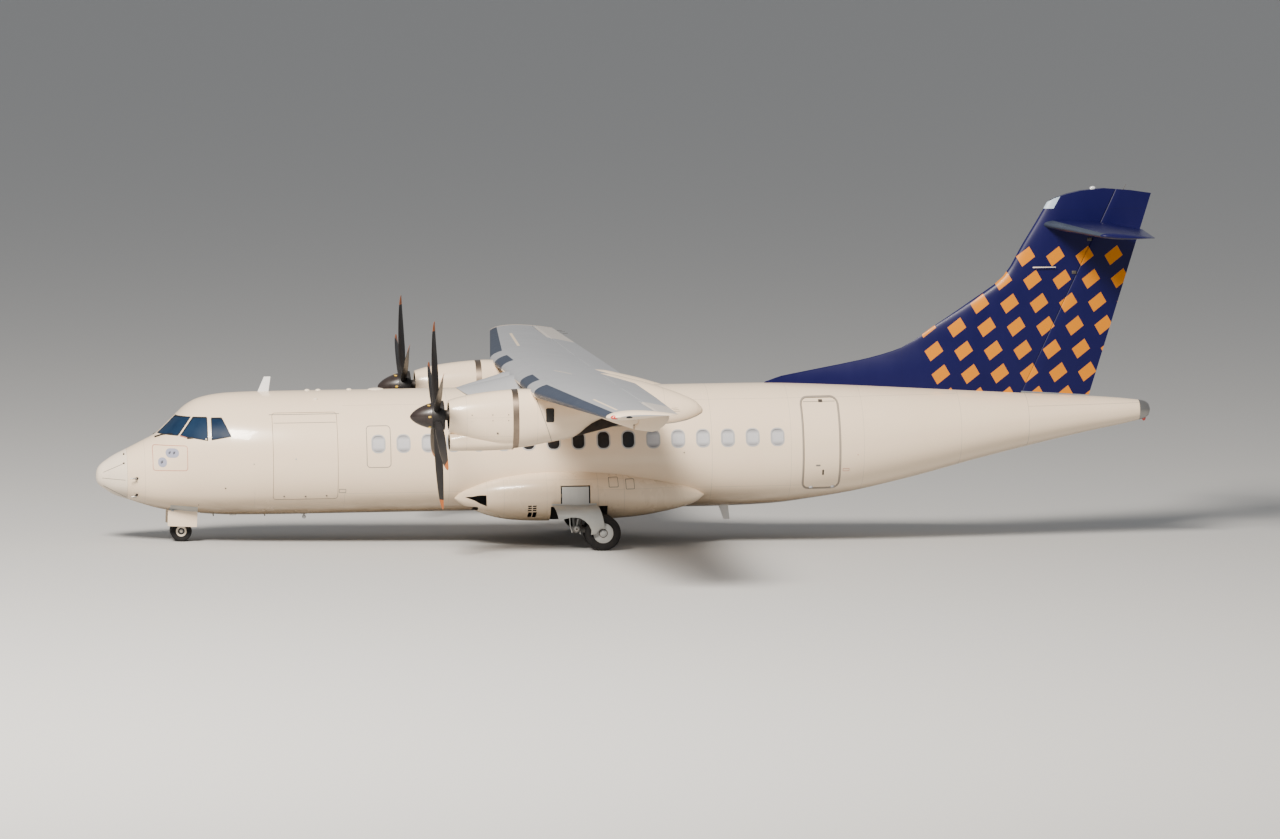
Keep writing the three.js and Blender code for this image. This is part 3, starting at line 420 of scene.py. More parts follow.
addFinish("clearLamp", (0.66, 0.68, 0.7), (0.5, 0.52, 0.55), 0.08, coat=1.0, patch=12.0)
addFinish("greenLamp", (0.02, 0.38, 0.09), (0.02, 0.28, 0.07), 0.1, coat=1.0, patch=12.0)
print("finishes ready:", len(finishes))


# Working helpers.
def pick(*pieces):
    bpy.ops.object.select_all(action="DESELECT")
    for piece in pieces:
        piece.select_set(True)
    bpy.context.view_layer.objects.active = pieces[0]


def openUp(piece, kind=None):
    pick(piece)
    bpy.ops.object.mode_set(mode="EDIT")
    if kind:
        bpy.ops.mesh.select_mode(type=kind)
    bpy.ops.mesh.select_all(action="SELECT")


def leaveEdit():
    bpy.ops.object.mode_set(mode="OBJECT")


def selectWhere(piece, test, kind="FACE"):
    if piece.mode != "EDIT":
        openUp(piece)
    bpy.ops.mesh.select_mode(type=kind)
    bpy.ops.mesh.select_all(action="DESELECT")
    mesh = bmesh.from_edit_mesh(piece.data)
    if kind == "FACE":
        for face in mesh.faces:
            face.select = bool(test(face.calc_center_median(), face.normal))
    else:
        for vert in mesh.verts:
            vert.select = bool(test(vert.co))
    mesh.select_flush_mode()
    bmesh.update_edit_mesh(piece.data)


def closeUp(piece, angle=32):
    openUp(piece)
    bpy.ops.mesh.remove_doubles(threshold=0.00005)
    bpy.ops.mesh.normals_make_consistent(inside=False)
    leaveEdit()
    bpy.ops.object.shade_smooth_by_angle(angle=math.radians(angle))


def rename(piece, name):
    piece.name = piece.data.name = name
    return piece


# Turns and moves a piece, or scales one that an operator has just added, and applies that to its mesh.
def settled(piece, rotation=None, location=None, scale=(1, 1, 1)):
    pick(piece)
    piece.scale = scale
    if location:
        piece.rotation_euler = rotation
        piece.location = location
    bpy.ops.object.transform_apply(location=True, rotation=True, scale=True)
    return piece


def newPiece(name, scale=(1, 1, 1)):
    return settled(rename(bpy.context.object, name), scale=scale)


def copyOf(piece, name):
    twin = piece.copy()
    twin.data = piece.data.copy()
    bpy.context.scene.collection.objects.link(twin)
    return rename(twin, name)


def mirrored(piece, name):
    twin = copyOf(piece, name)
    openUp(twin)
    bpy.ops.transform.resize(value=(1, -1, 1), center_override=(0, 0, 0))
    bpy.ops.mesh.normals_make_consistent(inside=False)
    leaveEdit()
    return twin


def joinInto(piece, *others):
    if others:
        pick(piece, *others)
        bpy.ops.object.join()
    return piece


def applied(piece, kind, **settings):
    step = piece.modifiers.new("step", kind)
    for key, value in settings.items():
        setattr(step, key, value)
    pick(piece)
    bpy.ops.object.modifier_apply(modifier=step.name)


def combine(piece, other, operation, keep=False):
    applied(piece, "BOOLEAN", operation=operation, object=other, solver="EXACT")
    if not keep:
        bpy.data.objects.remove(other)
    return piece


def dress(piece, *names):
    marks = [min(polygon.material_index, len(names) - 1) for polygon in piece.data.polygons]
    piece.data.materials.clear()
    for name in names:
        piece.data.materials.append(finishes[name])
    piece.data.polygons.foreach_set("material_index", marks)
    return piece


def markFaces(piece, index, test=None):
    for polygon in piece.data.polygons:
        if test is None or test(polygon.center, polygon.normal):
            polygon.material_index = index
    return piece


# Cuts a hole whose walls get the finish of that number.
def hollow(body, cutter, names, index=1):
    combine(body, markFaces(dress(cutter, *names), index), "DIFFERENCE")


def finished(piece, body, slot, *replaced, angle=32, clean=True):
    if clean:
        closeUp(piece, angle)
    settled(piece, (0, -stance["noseDown"], 0), (stance["noseTip"], 0, 0))
    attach(piece, body)
    if replaced:
        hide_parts(*replaced)
    return piece


sides = {"left": -1, "right": 1}


# Finishes a piece of one side and its mirror image on the other.
def finishedPair(piece, slot, node=None, angle=32):
    here, there = sides if "left" in piece.name else reversed(sides)
    for side, item in ((there, mirrored(piece, piece.name.replace(here, there))), (here, piece)):
        finished(item, "airframe", slot, *([node + "_" + side] if node else []), angle=angle)


# Joins and finishes the pieces that share a finish and a body. The label takes both names.
def finishGroups(groups, label, change=None):
    for (finish, body), parts in groups.items():
        piece = joinInto(*parts)
        if change:
            change(piece)
        finished(dress(rename(piece, label.format(finish, body)), finish), body, "grey_paint")


# More stations through a table's own, on curves that never overshoot.
def faired(rows, between):
    xs = [row[0] for row in rows]
    gaps = [b - a for a, b in zip(xs, xs[1:])]

    def slopes(values):
        rates = [(b - a) / gap for a, b, gap in zip(values, values[1:], gaps)]
        inner = []
        for p, q, g, h in zip(rates, rates[1:], gaps, gaps[1:]):
            inner.append(0 if p * q <= 0 else 3 * (g + h) / ((2 * h + g) / p + (h + 2 * g) / q))
        return [rates[0], *inner, rates[-1]]

    columns = list(zip(*rows))[1:]
    tangents = [slopes(column) for column in columns]
    out = []
    for i, gap in enumerate(gaps):
        for k in range(between):
            t = k / between
            row = [xs[i] + t * gap]
            for column, slope in zip(columns, tangents):
                a, b = column[i], column[i + 1]
                h00, h10 = 2 * t**3 - 3 * t**2 + 1, t**3 - 2 * t**2 + t
                h01, h11 = 3 * t**2 - 2 * t**3, t**3 - t**2
                row.append(h00 * a + h10 * gap * slope[i] + h01 * b + h11 * gap * slope[i + 1])
            out.append(row)
    out.append(list(rows[-1]))
    return out


def bevelCorners(offset, segments, profile=0.5, clamp=True):
    bpy.ops.mesh.bevel(offset_type="OFFSET", offset=offset, segments=segments, profile=profile,
                       affect="VERTICES", clamp_overlap=clamp)
    bpy.ops.mesh.select_all(action="SELECT")


# A flat ring across the x axis: the corners of a plane are rounded until they meet.
def roundRing(name, segments, upper, lower):
    bpy.ops.mesh.primitive_plane_add(size=2, location=(0, 0, 0), rotation=(0, math.pi / 2, 0))
    piece = newPiece(name)
    for side, profile in ((1, upper), (-1, lower)):
        selectWhere(piece, lambda v: abs(abs(v.y) - 1) < 1e-4 and abs(v.z - side) < 1e-4, "VERT")
        bevelCorners(1, segments, profile, False)
    bpy.ops.mesh.remove_doubles(threshold=1e-4)
    bpy.ops.mesh.select_all(action="SELECT")
    return piece


# Draws the selected lower half of a ring nearer to or farther from its middle.
def stretchLower(piece, middle, factor):
    if abs(factor - 1) < 1e-5:
        return
    mesh = bmesh.from_edit_mesh(piece.data)
    ring = [vert.index for vert in mesh.verts if vert.select]
    for vert in mesh.verts:
        vert.select = vert.select and vert.co.z < middle - 1e-6
    mesh.select_flush_mode()
    bmesh.update_edit_mesh(piece.data)
    bpy.ops.transform.resize(value=(1, 1, factor), center_override=(0, 0, middle))
    mesh = bmesh.from_edit_mesh(piece.data)
    mesh.verts.ensure_lookup_table()
    for index in ring:
        mesh.verts[index].select = True
    mesh.select_flush_mode()
    bmesh.update_edit_mesh(piece.data)


# Ends an edit with normals that point outwards.
def closeEdit(piece):
    bpy.ops.mesh.select_all(action="SELECT")
    bpy.ops.mesh.normals_make_consistent(inside=False)
    leaveEdit()
    return piece


# A closed body along x. Stations: x, middle y, middle z, half width, height over and under the middle.
def ringLoft(name, stations, segments=8, upper=0.5, lower=None):
    piece = roundRing(name, segments, upper, upper if lower is None else lower)
    last = (0, 0, 0, 1, 1, 1)
    for number, station in enumerate(stations):
        x, y, z, half, over, under = station
        step = (x - last[0], y - last[1], z - last[2])
        if number:
            bpy.ops.mesh.extrude_region_move(TRANSFORM_OT_translate={"value": step})
        else:
            bpy.ops.transform.translate(value=step)
        bpy.ops.transform.resize(value=(1, half / last[3], over / last[4]), center_override=(x, y, z))
        stretchLower(piece, z, (under / last[5]) / (over / last[4]))
        last = station
    return closeEdit(piece)


# A turned body along x from pairs of station and radius.
def turned(name, pairs, facets, y=0, z=0):
    return ringLoft(name, [(x, y, z, r, r, r) for x, r in pairs], facets // 4)


# Rounds the corners of the open outline and draws it out by a step.
def drawnOut(piece, step, corner, segments):
    if corner:
        bevelCorners(corner, segments)
    bpy.ops.mesh.extrude_region_move(TRANSFORM_OT_translate={"value": step})
    return closeEdit(piece)


# A prism across the fuselage with rounded corners, from one y to another.
def roundedPrism(name, x, z, y, corner, segments=6):
    place = ((x[0] + x[1]) / 2, y[0], (z[0] + z[1]) / 2)
    bpy.ops.mesh.primitive_plane_add(size=1, location=place, rotation=(math.pi / 2, 0, 0))
    piece = newPiece(name, (x[1] - x[0], z[1] - z[0], 1))
    openUp(piece, "VERT")
    return drawnOut(piece, (0, y[1] - y[0], 0), corner, segments)


# A plate from an outline of points, drawn out by a step.
def outlinePlate(name, points, step, corner=0.0, segments=4):
    points = [Vector(p) for p in points]
    bpy.ops.mesh.primitive_plane_add(size=0.01, location=points[0])
    piece = newPiece(name)
    openUp(piece, "VERT")
    bpy.ops.mesh.merge(type="CENTER")
    for a, b in zip(points, points[1:]):
        bpy.ops.mesh.extrude_region_move(TRANSFORM_OT_translate={"value": b - a})
    bpy.ops.mesh.select_all(action="SELECT")
    bpy.ops.mesh.edge_face_add()
    return drawnOut(piece, Vector(step), corner, segments)


# A plate across the fuselage from an outline as x and z, from one y to another.
def crossPlate(name, points, y0, y1, corner=0.0, segments=4):
    return outlinePlate(name, [(x, y0, z) for x, z in points], (0, y1 - y0, 0), corner, segments)


def boxPiece(name, x, y, z, bevel=0.0):
    bpy.ops.mesh.primitive_cube_add(size=1, location=[(a + b) / 2 for a, b in (x, y, z)])
    piece = newPiece(name, [b - a for a, b in (x, y, z)])
    if bevel:
        openUp(piece)
        bpy.ops.mesh.bevel(offset=bevel, segments=2, profile=0.5, affect="EDGES")
        leaveEdit()
    return piece


# A round bar between two points, with its rims rounded.
def barPiece(name, start, end, r0, r1=None, facets=24, bevel=0.004):
    start, end = Vector(start), Vector(end)
    way = end - start
    bpy.ops.mesh.primitive_cone_add(
        vertices=facets, radius1=r0, radius2=r0 if r1 is None else r1, depth=way.length,
        location=(start + end) / 2, rotation=way.to_track_quat("Z", "Y").to_euler())
    piece = newPiece(name)
    if bevel:
        axis = way.normalized()
        selectWhere(piece, lambda c, n: abs(n.dot(axis)) > 0.99)
        bpy.ops.mesh.bevel(offset=bevel, segments=2, profile=0.5, affect="EDGES")
        leaveEdit()
    return piece


# A skin over sections that carry points in the same order. No operator gives a wing's section.
def sectionSkin(name, rings, marks=None):
    count, last = len(rings[0]), (len(rings) - 1) * len(rings[0])
    faces, slots = [], []
    for r in range(len(rings) - 1):
        for i in range(count):
            a, b = r * count + i, r * count + (i + 1) % count
            faces.append((a, b, b + count, a + count))
            slots.append(marks(i, r) if marks else 0)
    faces += [tuple(range(count - 1, -1, -1)), tuple(range(last, last + count))]
    mesh = bpy.data.meshes.new(name)
    mesh.from_pydata([tuple(p) for ring in rings for p in ring], [], faces)
    mesh.polygons.foreach_set("material_index", slots + [0, 0])
    piece = bpy.data.objects.new(name, mesh)
    bpy.context.scene.collection.objects.link(piece)
    return piece


# Fuselage: station, roof, belly and half width, in millimetres.
hullTable = [
    (0, 1385, 1365, 8), (3, 1435, 1322, 56), (10, 1478, 1288, 96), (22, 1517, 1253, 136),
    (40, 1556, 1221, 176), (76, 1606, 1182, 222), (130, 1658, 1140, 264), (205, 1713, 1092, 308),
    (370, 1820, 985, 425), (649, 1957, 886, 580), (1010, 2135, 764, 750), (1256, 2262, 692, 850),
    (1480, 2462, 643, 930), (1700, 2677, 606, 1003), (1914, 2868, 580, 1065), (2175, 3005, 560, 1135),
    (2504, 3080, 535, 1215), (2829, 3112, 519, 1290), (3400, 3127, 512, 1375), (4200, 3130, 510, 1427),
    (4700, 3130, 510, 1432), (8850, 3130, 510, 1432), (13000, 3130, 510, 1432), (13700, 3130, 521, 1431),
    (14430, 3126, 551, 1424), (15260, 3100, 644, 1398), (16150, 3058, 776, 1345), (16870, 3018, 925, 1280),
    (17600, 2975, 1090, 1195), (18700, 2908, 1372, 1045), (19950, 2825, 1668, 830), (21280, 2733, 1958, 560),
    (22440, 2626, 2190, 270), (22570, 2600, 2228, 215), (22660, 2540, 2294, 140), (22700, 2430, 2402, 14),
]
hullShape = {"length": 22.7, "fullFrom": 4.7, "fullTo": 13.0, "knee": 0.4542, "segments": 16, "between": 3,
             "lower": 0.5473, "radome": (0.646, 0.649), "tailCap": (22.44, 22.442)}
hullRows = faired(hullTable, hullShape["between"])


def hullMiddle(x, roof, belly):
    taper = hullShape["length"] - hullShape["fullTo"]
    along = min(1, x / hullShape["fullFrom"], (hullShape["length"] - x) / taper)
    return belly + (roof - belly) * (0.5 + (hullShape["knee"] - 0.5) * along)


# How far out the skin lies at a station and height.
def skinSide(x, z):
    a, b = next((a, b) for a, b in zip(hullRows, hullRows[1:]) if a[0] <= x * 1000 <= b[0])
    share = (x * 1000 - a[0]) / (b[0] - a[0])
    roof, belly, half = ((p + (q - p) * share) / 1000 for p, q in zip(a[1:], b[1:]))
    middle = hullMiddle(x, roof, belly)
    power, reach = (2, roof - middle) if z > middle else (2.3, middle - belly)
    return half * max(1 - (abs(z - middle) / reach) ** power, 0) ** (1 / power)


def hull(name, grow=0.0):
    stations = []
    for row in hullRows:
        x, roof, belly, half = (v / 1000 for v in row)
        middle = hullMiddle(x, roof, belly)
        half = max(half + grow, 0.001)
        over, under = max(roof - middle + grow, 0.001), max(middle - belly + grow, 0.001)
        stations.append((x, 0, middle, half, over, under))
    return ringLoft(name, stations, hullShape["segments"], 0.5, hullShape["lower"])


skin = hull("skin")
innerSkin = hull("innerSkin", -0.1)
paneSkin = hull("paneSkin", -0.012)
backSkin = hull("backSkin", -0.04)
proudSkin = hull("proudSkin", 0.0025)
print("fuselage forms lofted")


# A thin cover that lies on the skin: the part of an outline between two of the fuselage forms.
def onSkin(cutter, outer, inner):
    combine(cutter, outer, "INTERSECT", keep=True)
    combine(cutter, inner, "DIFFERENCE", keep=True)
    return cutter


doors = {
    "passenger_door": {"s": -1, "x": (15.004, 15.756), "z": (0.957, 2.849), "corner": 0.12, "floor": 0.62},
    "cargo_door": {"s": -1, "x": (3.69, 5.05), "z": (0.919, 2.733), "corner": 0.06, "floor": 0.74},
    "service_door": {"s": 1, "x": (15.05, 15.66), "z": (1.09, 2.31), "corner": 0.09, "floor": 0.88},
    "leaves": ("passenger_door", "cargo_door", "service_door"), "gap": 0.008, "reach": 1.7,
}


def doorPrism(name, grow):
    door = doors[name]
    x, z = ((door[axis][0] - grow, door[axis][1] + grow) for axis in "xz")
    reach = (door["s"] * door["floor"], door["s"] * doors["reach"])
    return roundedPrism(name + "Prism", x, z, reach, door["corner"] + grow)


def makeDoors():
    for name in doors["leaves"]:
        leaf = onSkin(doorPrism(name, 0), skin, innerSkin)
        dress(rename(leaf, name.replace("_door", "DoorLeaf")), "cabinPaint", "lining")
        markFaces(leaf, 0)
        markFaces(leaf, 1, lambda c, n: n.y * doors[name]["s"] < -0.3)
        finished(leaf, name, "white_paint", name, angle=25)


makeDoors()
print("door leaves made")

windows = {"first": 5.915, "pitch": 0.532, "count": 17, "middle": 2.075, "wide": 0.245, "high": 0.335,
           "corner": 0.1, "rim": 0.028, "slack": 0.004, "dark": range(4, 11), "reach": (1.15, 1.6)}


def windowPrisms(name, grow, numbers):
    pieces = []
    for s in sides.values():
        for k in numbers:
            x, z = windows["first"] + k * windows["pitch"], windows["middle"]
            wide, high = windows["wide"] / 2 + grow, windows["high"] / 2 + grow
            pieces.append(roundedPrism(name, (x - wide, x + wide), (z - high, z + high),
                                       [s * y for y in windows["reach"]], windows["corner"] + grow, 5))
    return joinInto(*pieces)


# The windows listed as dark get dark glass in place of blinds: painted shade of the wing's shadow.
def makeWindows():
    every = range(windows["count"])
    bright = [k for k in every if k not in windows["dark"]]
    rows = (("cabinBlinds", bright, "blind"), ("cabinPanes", windows["dark"], "cabinGlass"))
    for label, numbers, look in rows:
        panes = onSkin(windowPrisms(label, windows["slack"], numbers), paneSkin, backSkin)
        finished(dress(panes, look), "airframe", "glazing")
    rims = onSkin(windowPrisms("windowRims", windows["rim"], every), proudSkin, paneSkin)
    combine(rims, windowPrisms("openings", 0, every), "DIFFERENCE")
    finished(dress(rims, "rimGrey"), "airframe", "grey_paint")


makeWindows()
print("cabin windows made")

cockpit = {
    # corners of each pane as x and z on the skin
    "panes": {
        "front": [(1.315, 2.301), (1.678, 2.652), (1.98, 2.659), (1.706, 2.293)],
        "side": [(1.762, 2.283), (2.038, 2.651), (2.315, 2.656), (2.317, 2.195)],
        "rear": [(2.417, 2.641), (2.626, 2.642), (2.808, 2.28), (2.411, 2.208)],
    },
    "corner": 0.02, "seal": 0.016, "spread": 1.35,
    "from": {"front": 0.09, "side": 0.45, "rear": 0.45}, "to": 1.6,
}


def paneOutlines(name, s, grow=0.0):
    pieces = []
    for key, corners in cockpit["panes"].items():
        points = [Vector((x, z)) for x, z in corners]
        middle = sum(points, Vector((0, 0))) / len(points)
        spread = [middle + (p - middle) * (1 + grow / (p - middle).length * cockpit["spread"]) for p in points]
        pieces.append(crossPlate(name, spread, s * cockpit["from"][key], s * cockpit["to"], cockpit["corner"]))
    return pieces


def makeCockpitGlazing():
    for side, s in sides.items():
        panes = onSkin(joinInto(*paneOutlines("cockpitPanes_" + side, s)), paneSkin, backSkin)
        finished(dress(panes, "pane"), "airframe", "glazing", "cockpit_glazing_" + side)
        seals = onSkin(joinInto(*paneOutlines("paneSeals_" + side, s, cockpit["seal"])), proudSkin, paneSkin)
        for opening in paneOutlines("opening", s):
            combine(seals, opening, "DIFFERENCE")
        finished(dress(seals, "darkVoid"), "airframe", "grey_paint")


makeCockpitGlazing()
print("cockpit glazing made")


# Cuts a piece off square at one or both stations.
def keepBetween(piece, x0, x1):
    openUp(piece)
    for station, way in ((x0, 1), (x1, -1)):
        if station:
            bpy.ops.mesh.select_all(action="SELECT")
            bpy.ops.mesh.bisect(plane_co=(station, 0, 0), plane_no=(way, 0, 0), clear_inner=True, use_fill=True)
    leaveEdit()
    return piece


noseBay = {"x": (1.48, 2.2), "half": 0.33, "z": (0.3, 1.15)}
aerials = {
    "roof": [(3.45, 3.1), (3.69, 3.1), (3.74, 3.437), (3.6, 3.437)],
    "belly": [(13.3, 0.56), (13.52, 0.56), (13.56, 0.205), (13.43, 0.205)],
    "half": 0.014, "round": 0.011,
}
jackPad = {"x": 2.9, "z": (0.64, 0.49), "radius": 0.07}


def makeFuselage():
    body = rename(skin, "fuselageSkin")
    looks = ("cabinPaint", "lining", "darkVoid")
    dress(body, *looks)
    for name in doors["leaves"]:
        hollow(body, doorPrism(name, doors["gap"]), looks[:2])
    half = noseBay["half"]
    hollow(body, boxPiece("bay", noseBay["x"], (-half, half), noseBay["z"]), looks, 2)
    hollow(body, windowPrisms("openings", 0, range(windows["count"])), looks, 2)
    for s in sides.values():
        for opening in paneOutlines("opening", s):
            hollow(body, onSkin(opening, proudSkin, backSkin), looks, 2)
    cap, nose = copyOf(body, "tailCap"), copyOf(body, "radomeShell")
    (noseEnd, front), (rear, capStart) = hullShape["radome"], hullShape["tailCap"]
    keepBetween(body, front, rear)
    keepBetween(nose, None, noseEnd)
    keepBetween(cap, capStart, None)
    finished(dress(nose, "nosePaint"), "airframe", "radome", "radome")
    finished(dress(cap, "steel"), "airframe", "bare_steel", "tail_cap")
    pad = barPiece("pad", *((jackPad["x"], 0, z) for z in jackPad["z"]), jackPad["radius"])
    blades = []
    for key in ("roof", "belly"):
        blade = crossPlate("aerial", aerials[key], -aerials["half"], aerials["half"])
        selectWhere(blade, lambda c, n: abs(n.x) > 0.6)
        bpy.ops.mesh.bevel(offset=aerials["round"], segments=4, profile=0.6, affect="EDGES")
        leaveEdit()
        blades.append(blade)
    finished(joinInto(body, pad, *blades), "airframe", "white_paint", "fuselage", angle=28)


makeFuselage()

# Thin covers and small fittings on the skin.
skinCovers = {
    # side (0 for both), x and z ranges, corner, line width (none fills the shape), finish, body
    "outlines": [
        (0, (1.17, 1.9), (1.545, 2.08), 0.06, 0.013, "thinLine", "airframe"),
        (0, (5.66, 6.18), (1.575, 2.455), 0.08, 0.014, "sealGrey", "airframe"),
        (-1, (5.075, 5.225), (1.043, 1.127), 0.008, 0.011, "sealGrey", "airframe"),
        (-1, (14.959, 15.801), (0.912, 2.894), 0.165, 0.035, "doorTrim", "airframe"),
        (1, (15.015, 15.695), (1.055, 2.345), 0.125, 0.028, "doorTrim", "airframe"),
        (-1, (15.84, 15.98), (1.31, 1.37), 0.006, 0.009, "thinLine", "airframe"),
        (-1, (3.625, 5.115), (2.7, 2.712), 0.003, 0, "sealGrey", "cargo_door"),
        (-1, (3.71, 5.03), (2.532, 2.542), 0.003, 0, "sealGrey", "cargo_door"),
        (-1, (15.035, 15.725), (2.775, 2.785), 0.003, 0, "sealGrey", "passenger_door"),
        (-1, (15.367, 15.457), (2.762, 2.822), 0.01, 0, "darkMetal", "passenger_door"),
        (-1, (15.392, 15.432), (1.235, 1.355), 0.016, 0, "darkMetal", "passenger_door"),
        (-1, (15.25, 15.35), (1.43, 1.465), 0.014, 0, "sealGrey", "passenger_door"),
        (1, (15.3, 15.42), (1.65, 1.69), 0.015, 0, "sealGrey", "service_door"),
        (0, (1.44, 1.72), (1.822, 2.018), 0.095, 0, "ovalGrey", "airframe"),
        (0, (1.28, 1.464), (1.62, 1.828), 0.09, 0, "ovalGrey", "airframe"),
    ],
    # side, x, z, radius, how proud, finish, body
    "spots": [
        (0, 1.535, 1.92, 0.036, 0.004, "blueGrey", "airframe"),
        (0, 1.625, 1.92, 0.036, 0.004, "blueGrey", "airframe"),
        (0, 1.535, 1.92, 0.016, 0.007, "darkMetal", "airframe"),
        (0, 1.625, 1.92, 0.016, 0.007, "darkMetal", "airframe"),
        (0, 1.372, 1.724, 0.042, 0.004, "blueGrey", "airframe"),
        (0, 1.372, 1.724, 0.018, 0.007, "darkMetal", "airframe"),
        (0, 2.683, 1.175, 0.016, 0.004, "darkMetal", "airframe"),
        (-1, 2.131, 0.796, 0.012, 0.004, "darkMetal", "airframe"),
        (-1, 3.278, 1.693, 0.012, 0.004, "sealGrey", "airframe"),
        (0, 12.42, 1.78, 0.014, 0.004, "darkMetal", "airframe"),
        (-1, 3.917, 0.987, 0.018, 0.005, "darkMetal", "cargo_door"),
        (-1, 4.371, 0.98, 0.018, 0.005, "darkMetal", "cargo_door"),
        (-1, 4.815, 0.986, 0.018, 0.005, "darkMetal", "cargo_door"),
        (-1, 4.163, 1.789, 0.016, 0.004, "rimGrey", "cargo_door"),
        (-1, 16.16, 1.66, 0.012, 0.004, "thinLine", "airframe"),
    ],
    # lines along the nose shell: ends as x and z
    "stripHalf": 0.005, "sill": [(1.515, 0.655), (2.13, 0.62), (2.115, 0.742), (1.555, 0.79)],
    "strips": [((0.15, 1.483), (0.56, 1.674)), ((0.15, 1.19), (0.62, 0.945)), ((0.12, 1.36), (0.6, 1.33))],
}


def bothSides(rows):
    return [(s, *row[1:]) for row in rows for s in ((row[0],) if row[0] else sides.values())]


def makeSkinCovers():
    groups = defaultdict(list)
    for s, x, z, corner, line, finish, body in bothSides(skinCovers["outlines"]):
        cover = roundedPrism("cover", x, z, (s * 0.25, s * 1.7), corner, 4)
        if line:
            inside = roundedPrism("inside", (x[0] + line, x[1] - line), (z[0] + line, z[1] - line),
                                  (s * 0.2, s * 1.8), max(corner - line, 0), 4)
            combine(cover, inside, "DIFFERENCE")
        groups[finish, body].append(cover)
    for s in sides.values():
        for start, end in skinCovers["strips"]:
            a, b = Vector(start), Vector(end)
            away = Vector((a.y - b.y, b.x - a.x)).normalized() * skinCovers["stripHalf"]
            strip = crossPlate("strip", [a - away, b - away, b + away, a + away], s * 0.02, s * 1.22)
            groups["sealGrey", "airframe"].append(strip)
        groups["plateGrey", "airframe"].append(crossPlate("sill", skinCovers["sill"], s * 0.3, s * 1.5))
    finishGroups(groups, "{}Covers_{}", lambda piece: onSkin(piece, proudSkin, paneSkin))
    groups = defaultdict(list)
    for s, x, z, radius, proud, finish, body in bothSides(skinCovers["spots"]):
        y = skinSide(x, z)
        spot = barPiece("spot", (x, s * (y - 0.03), z), (x, s * (y + proud), z), radius, facets=14, bevel=0.001)
        groups[finish, body].append(spot)
    finishGroups(groups, "{}Spots_{}")


makeSkinCovers()
for spare in (innerSkin, paneSkin, backSkin, proudSkin):
    bpy.data.objects.remove(spare)
print("fuselage made")


# A small closed swelling between two stations.
def blister(name, x, y, z, half, high, segments=5):
    stations = []
    for k in range(9):
        a = math.pi * k / 8
        share = max(math.sin(a), 0.03)
        place = (x[0] + x[1]) / 2 - (x[1] - x[0]) / 2 * math.cos(a)
        stations.append((place, y, z, half * share, high * share, high * share))
    return ringLoft(name, stations, segments)


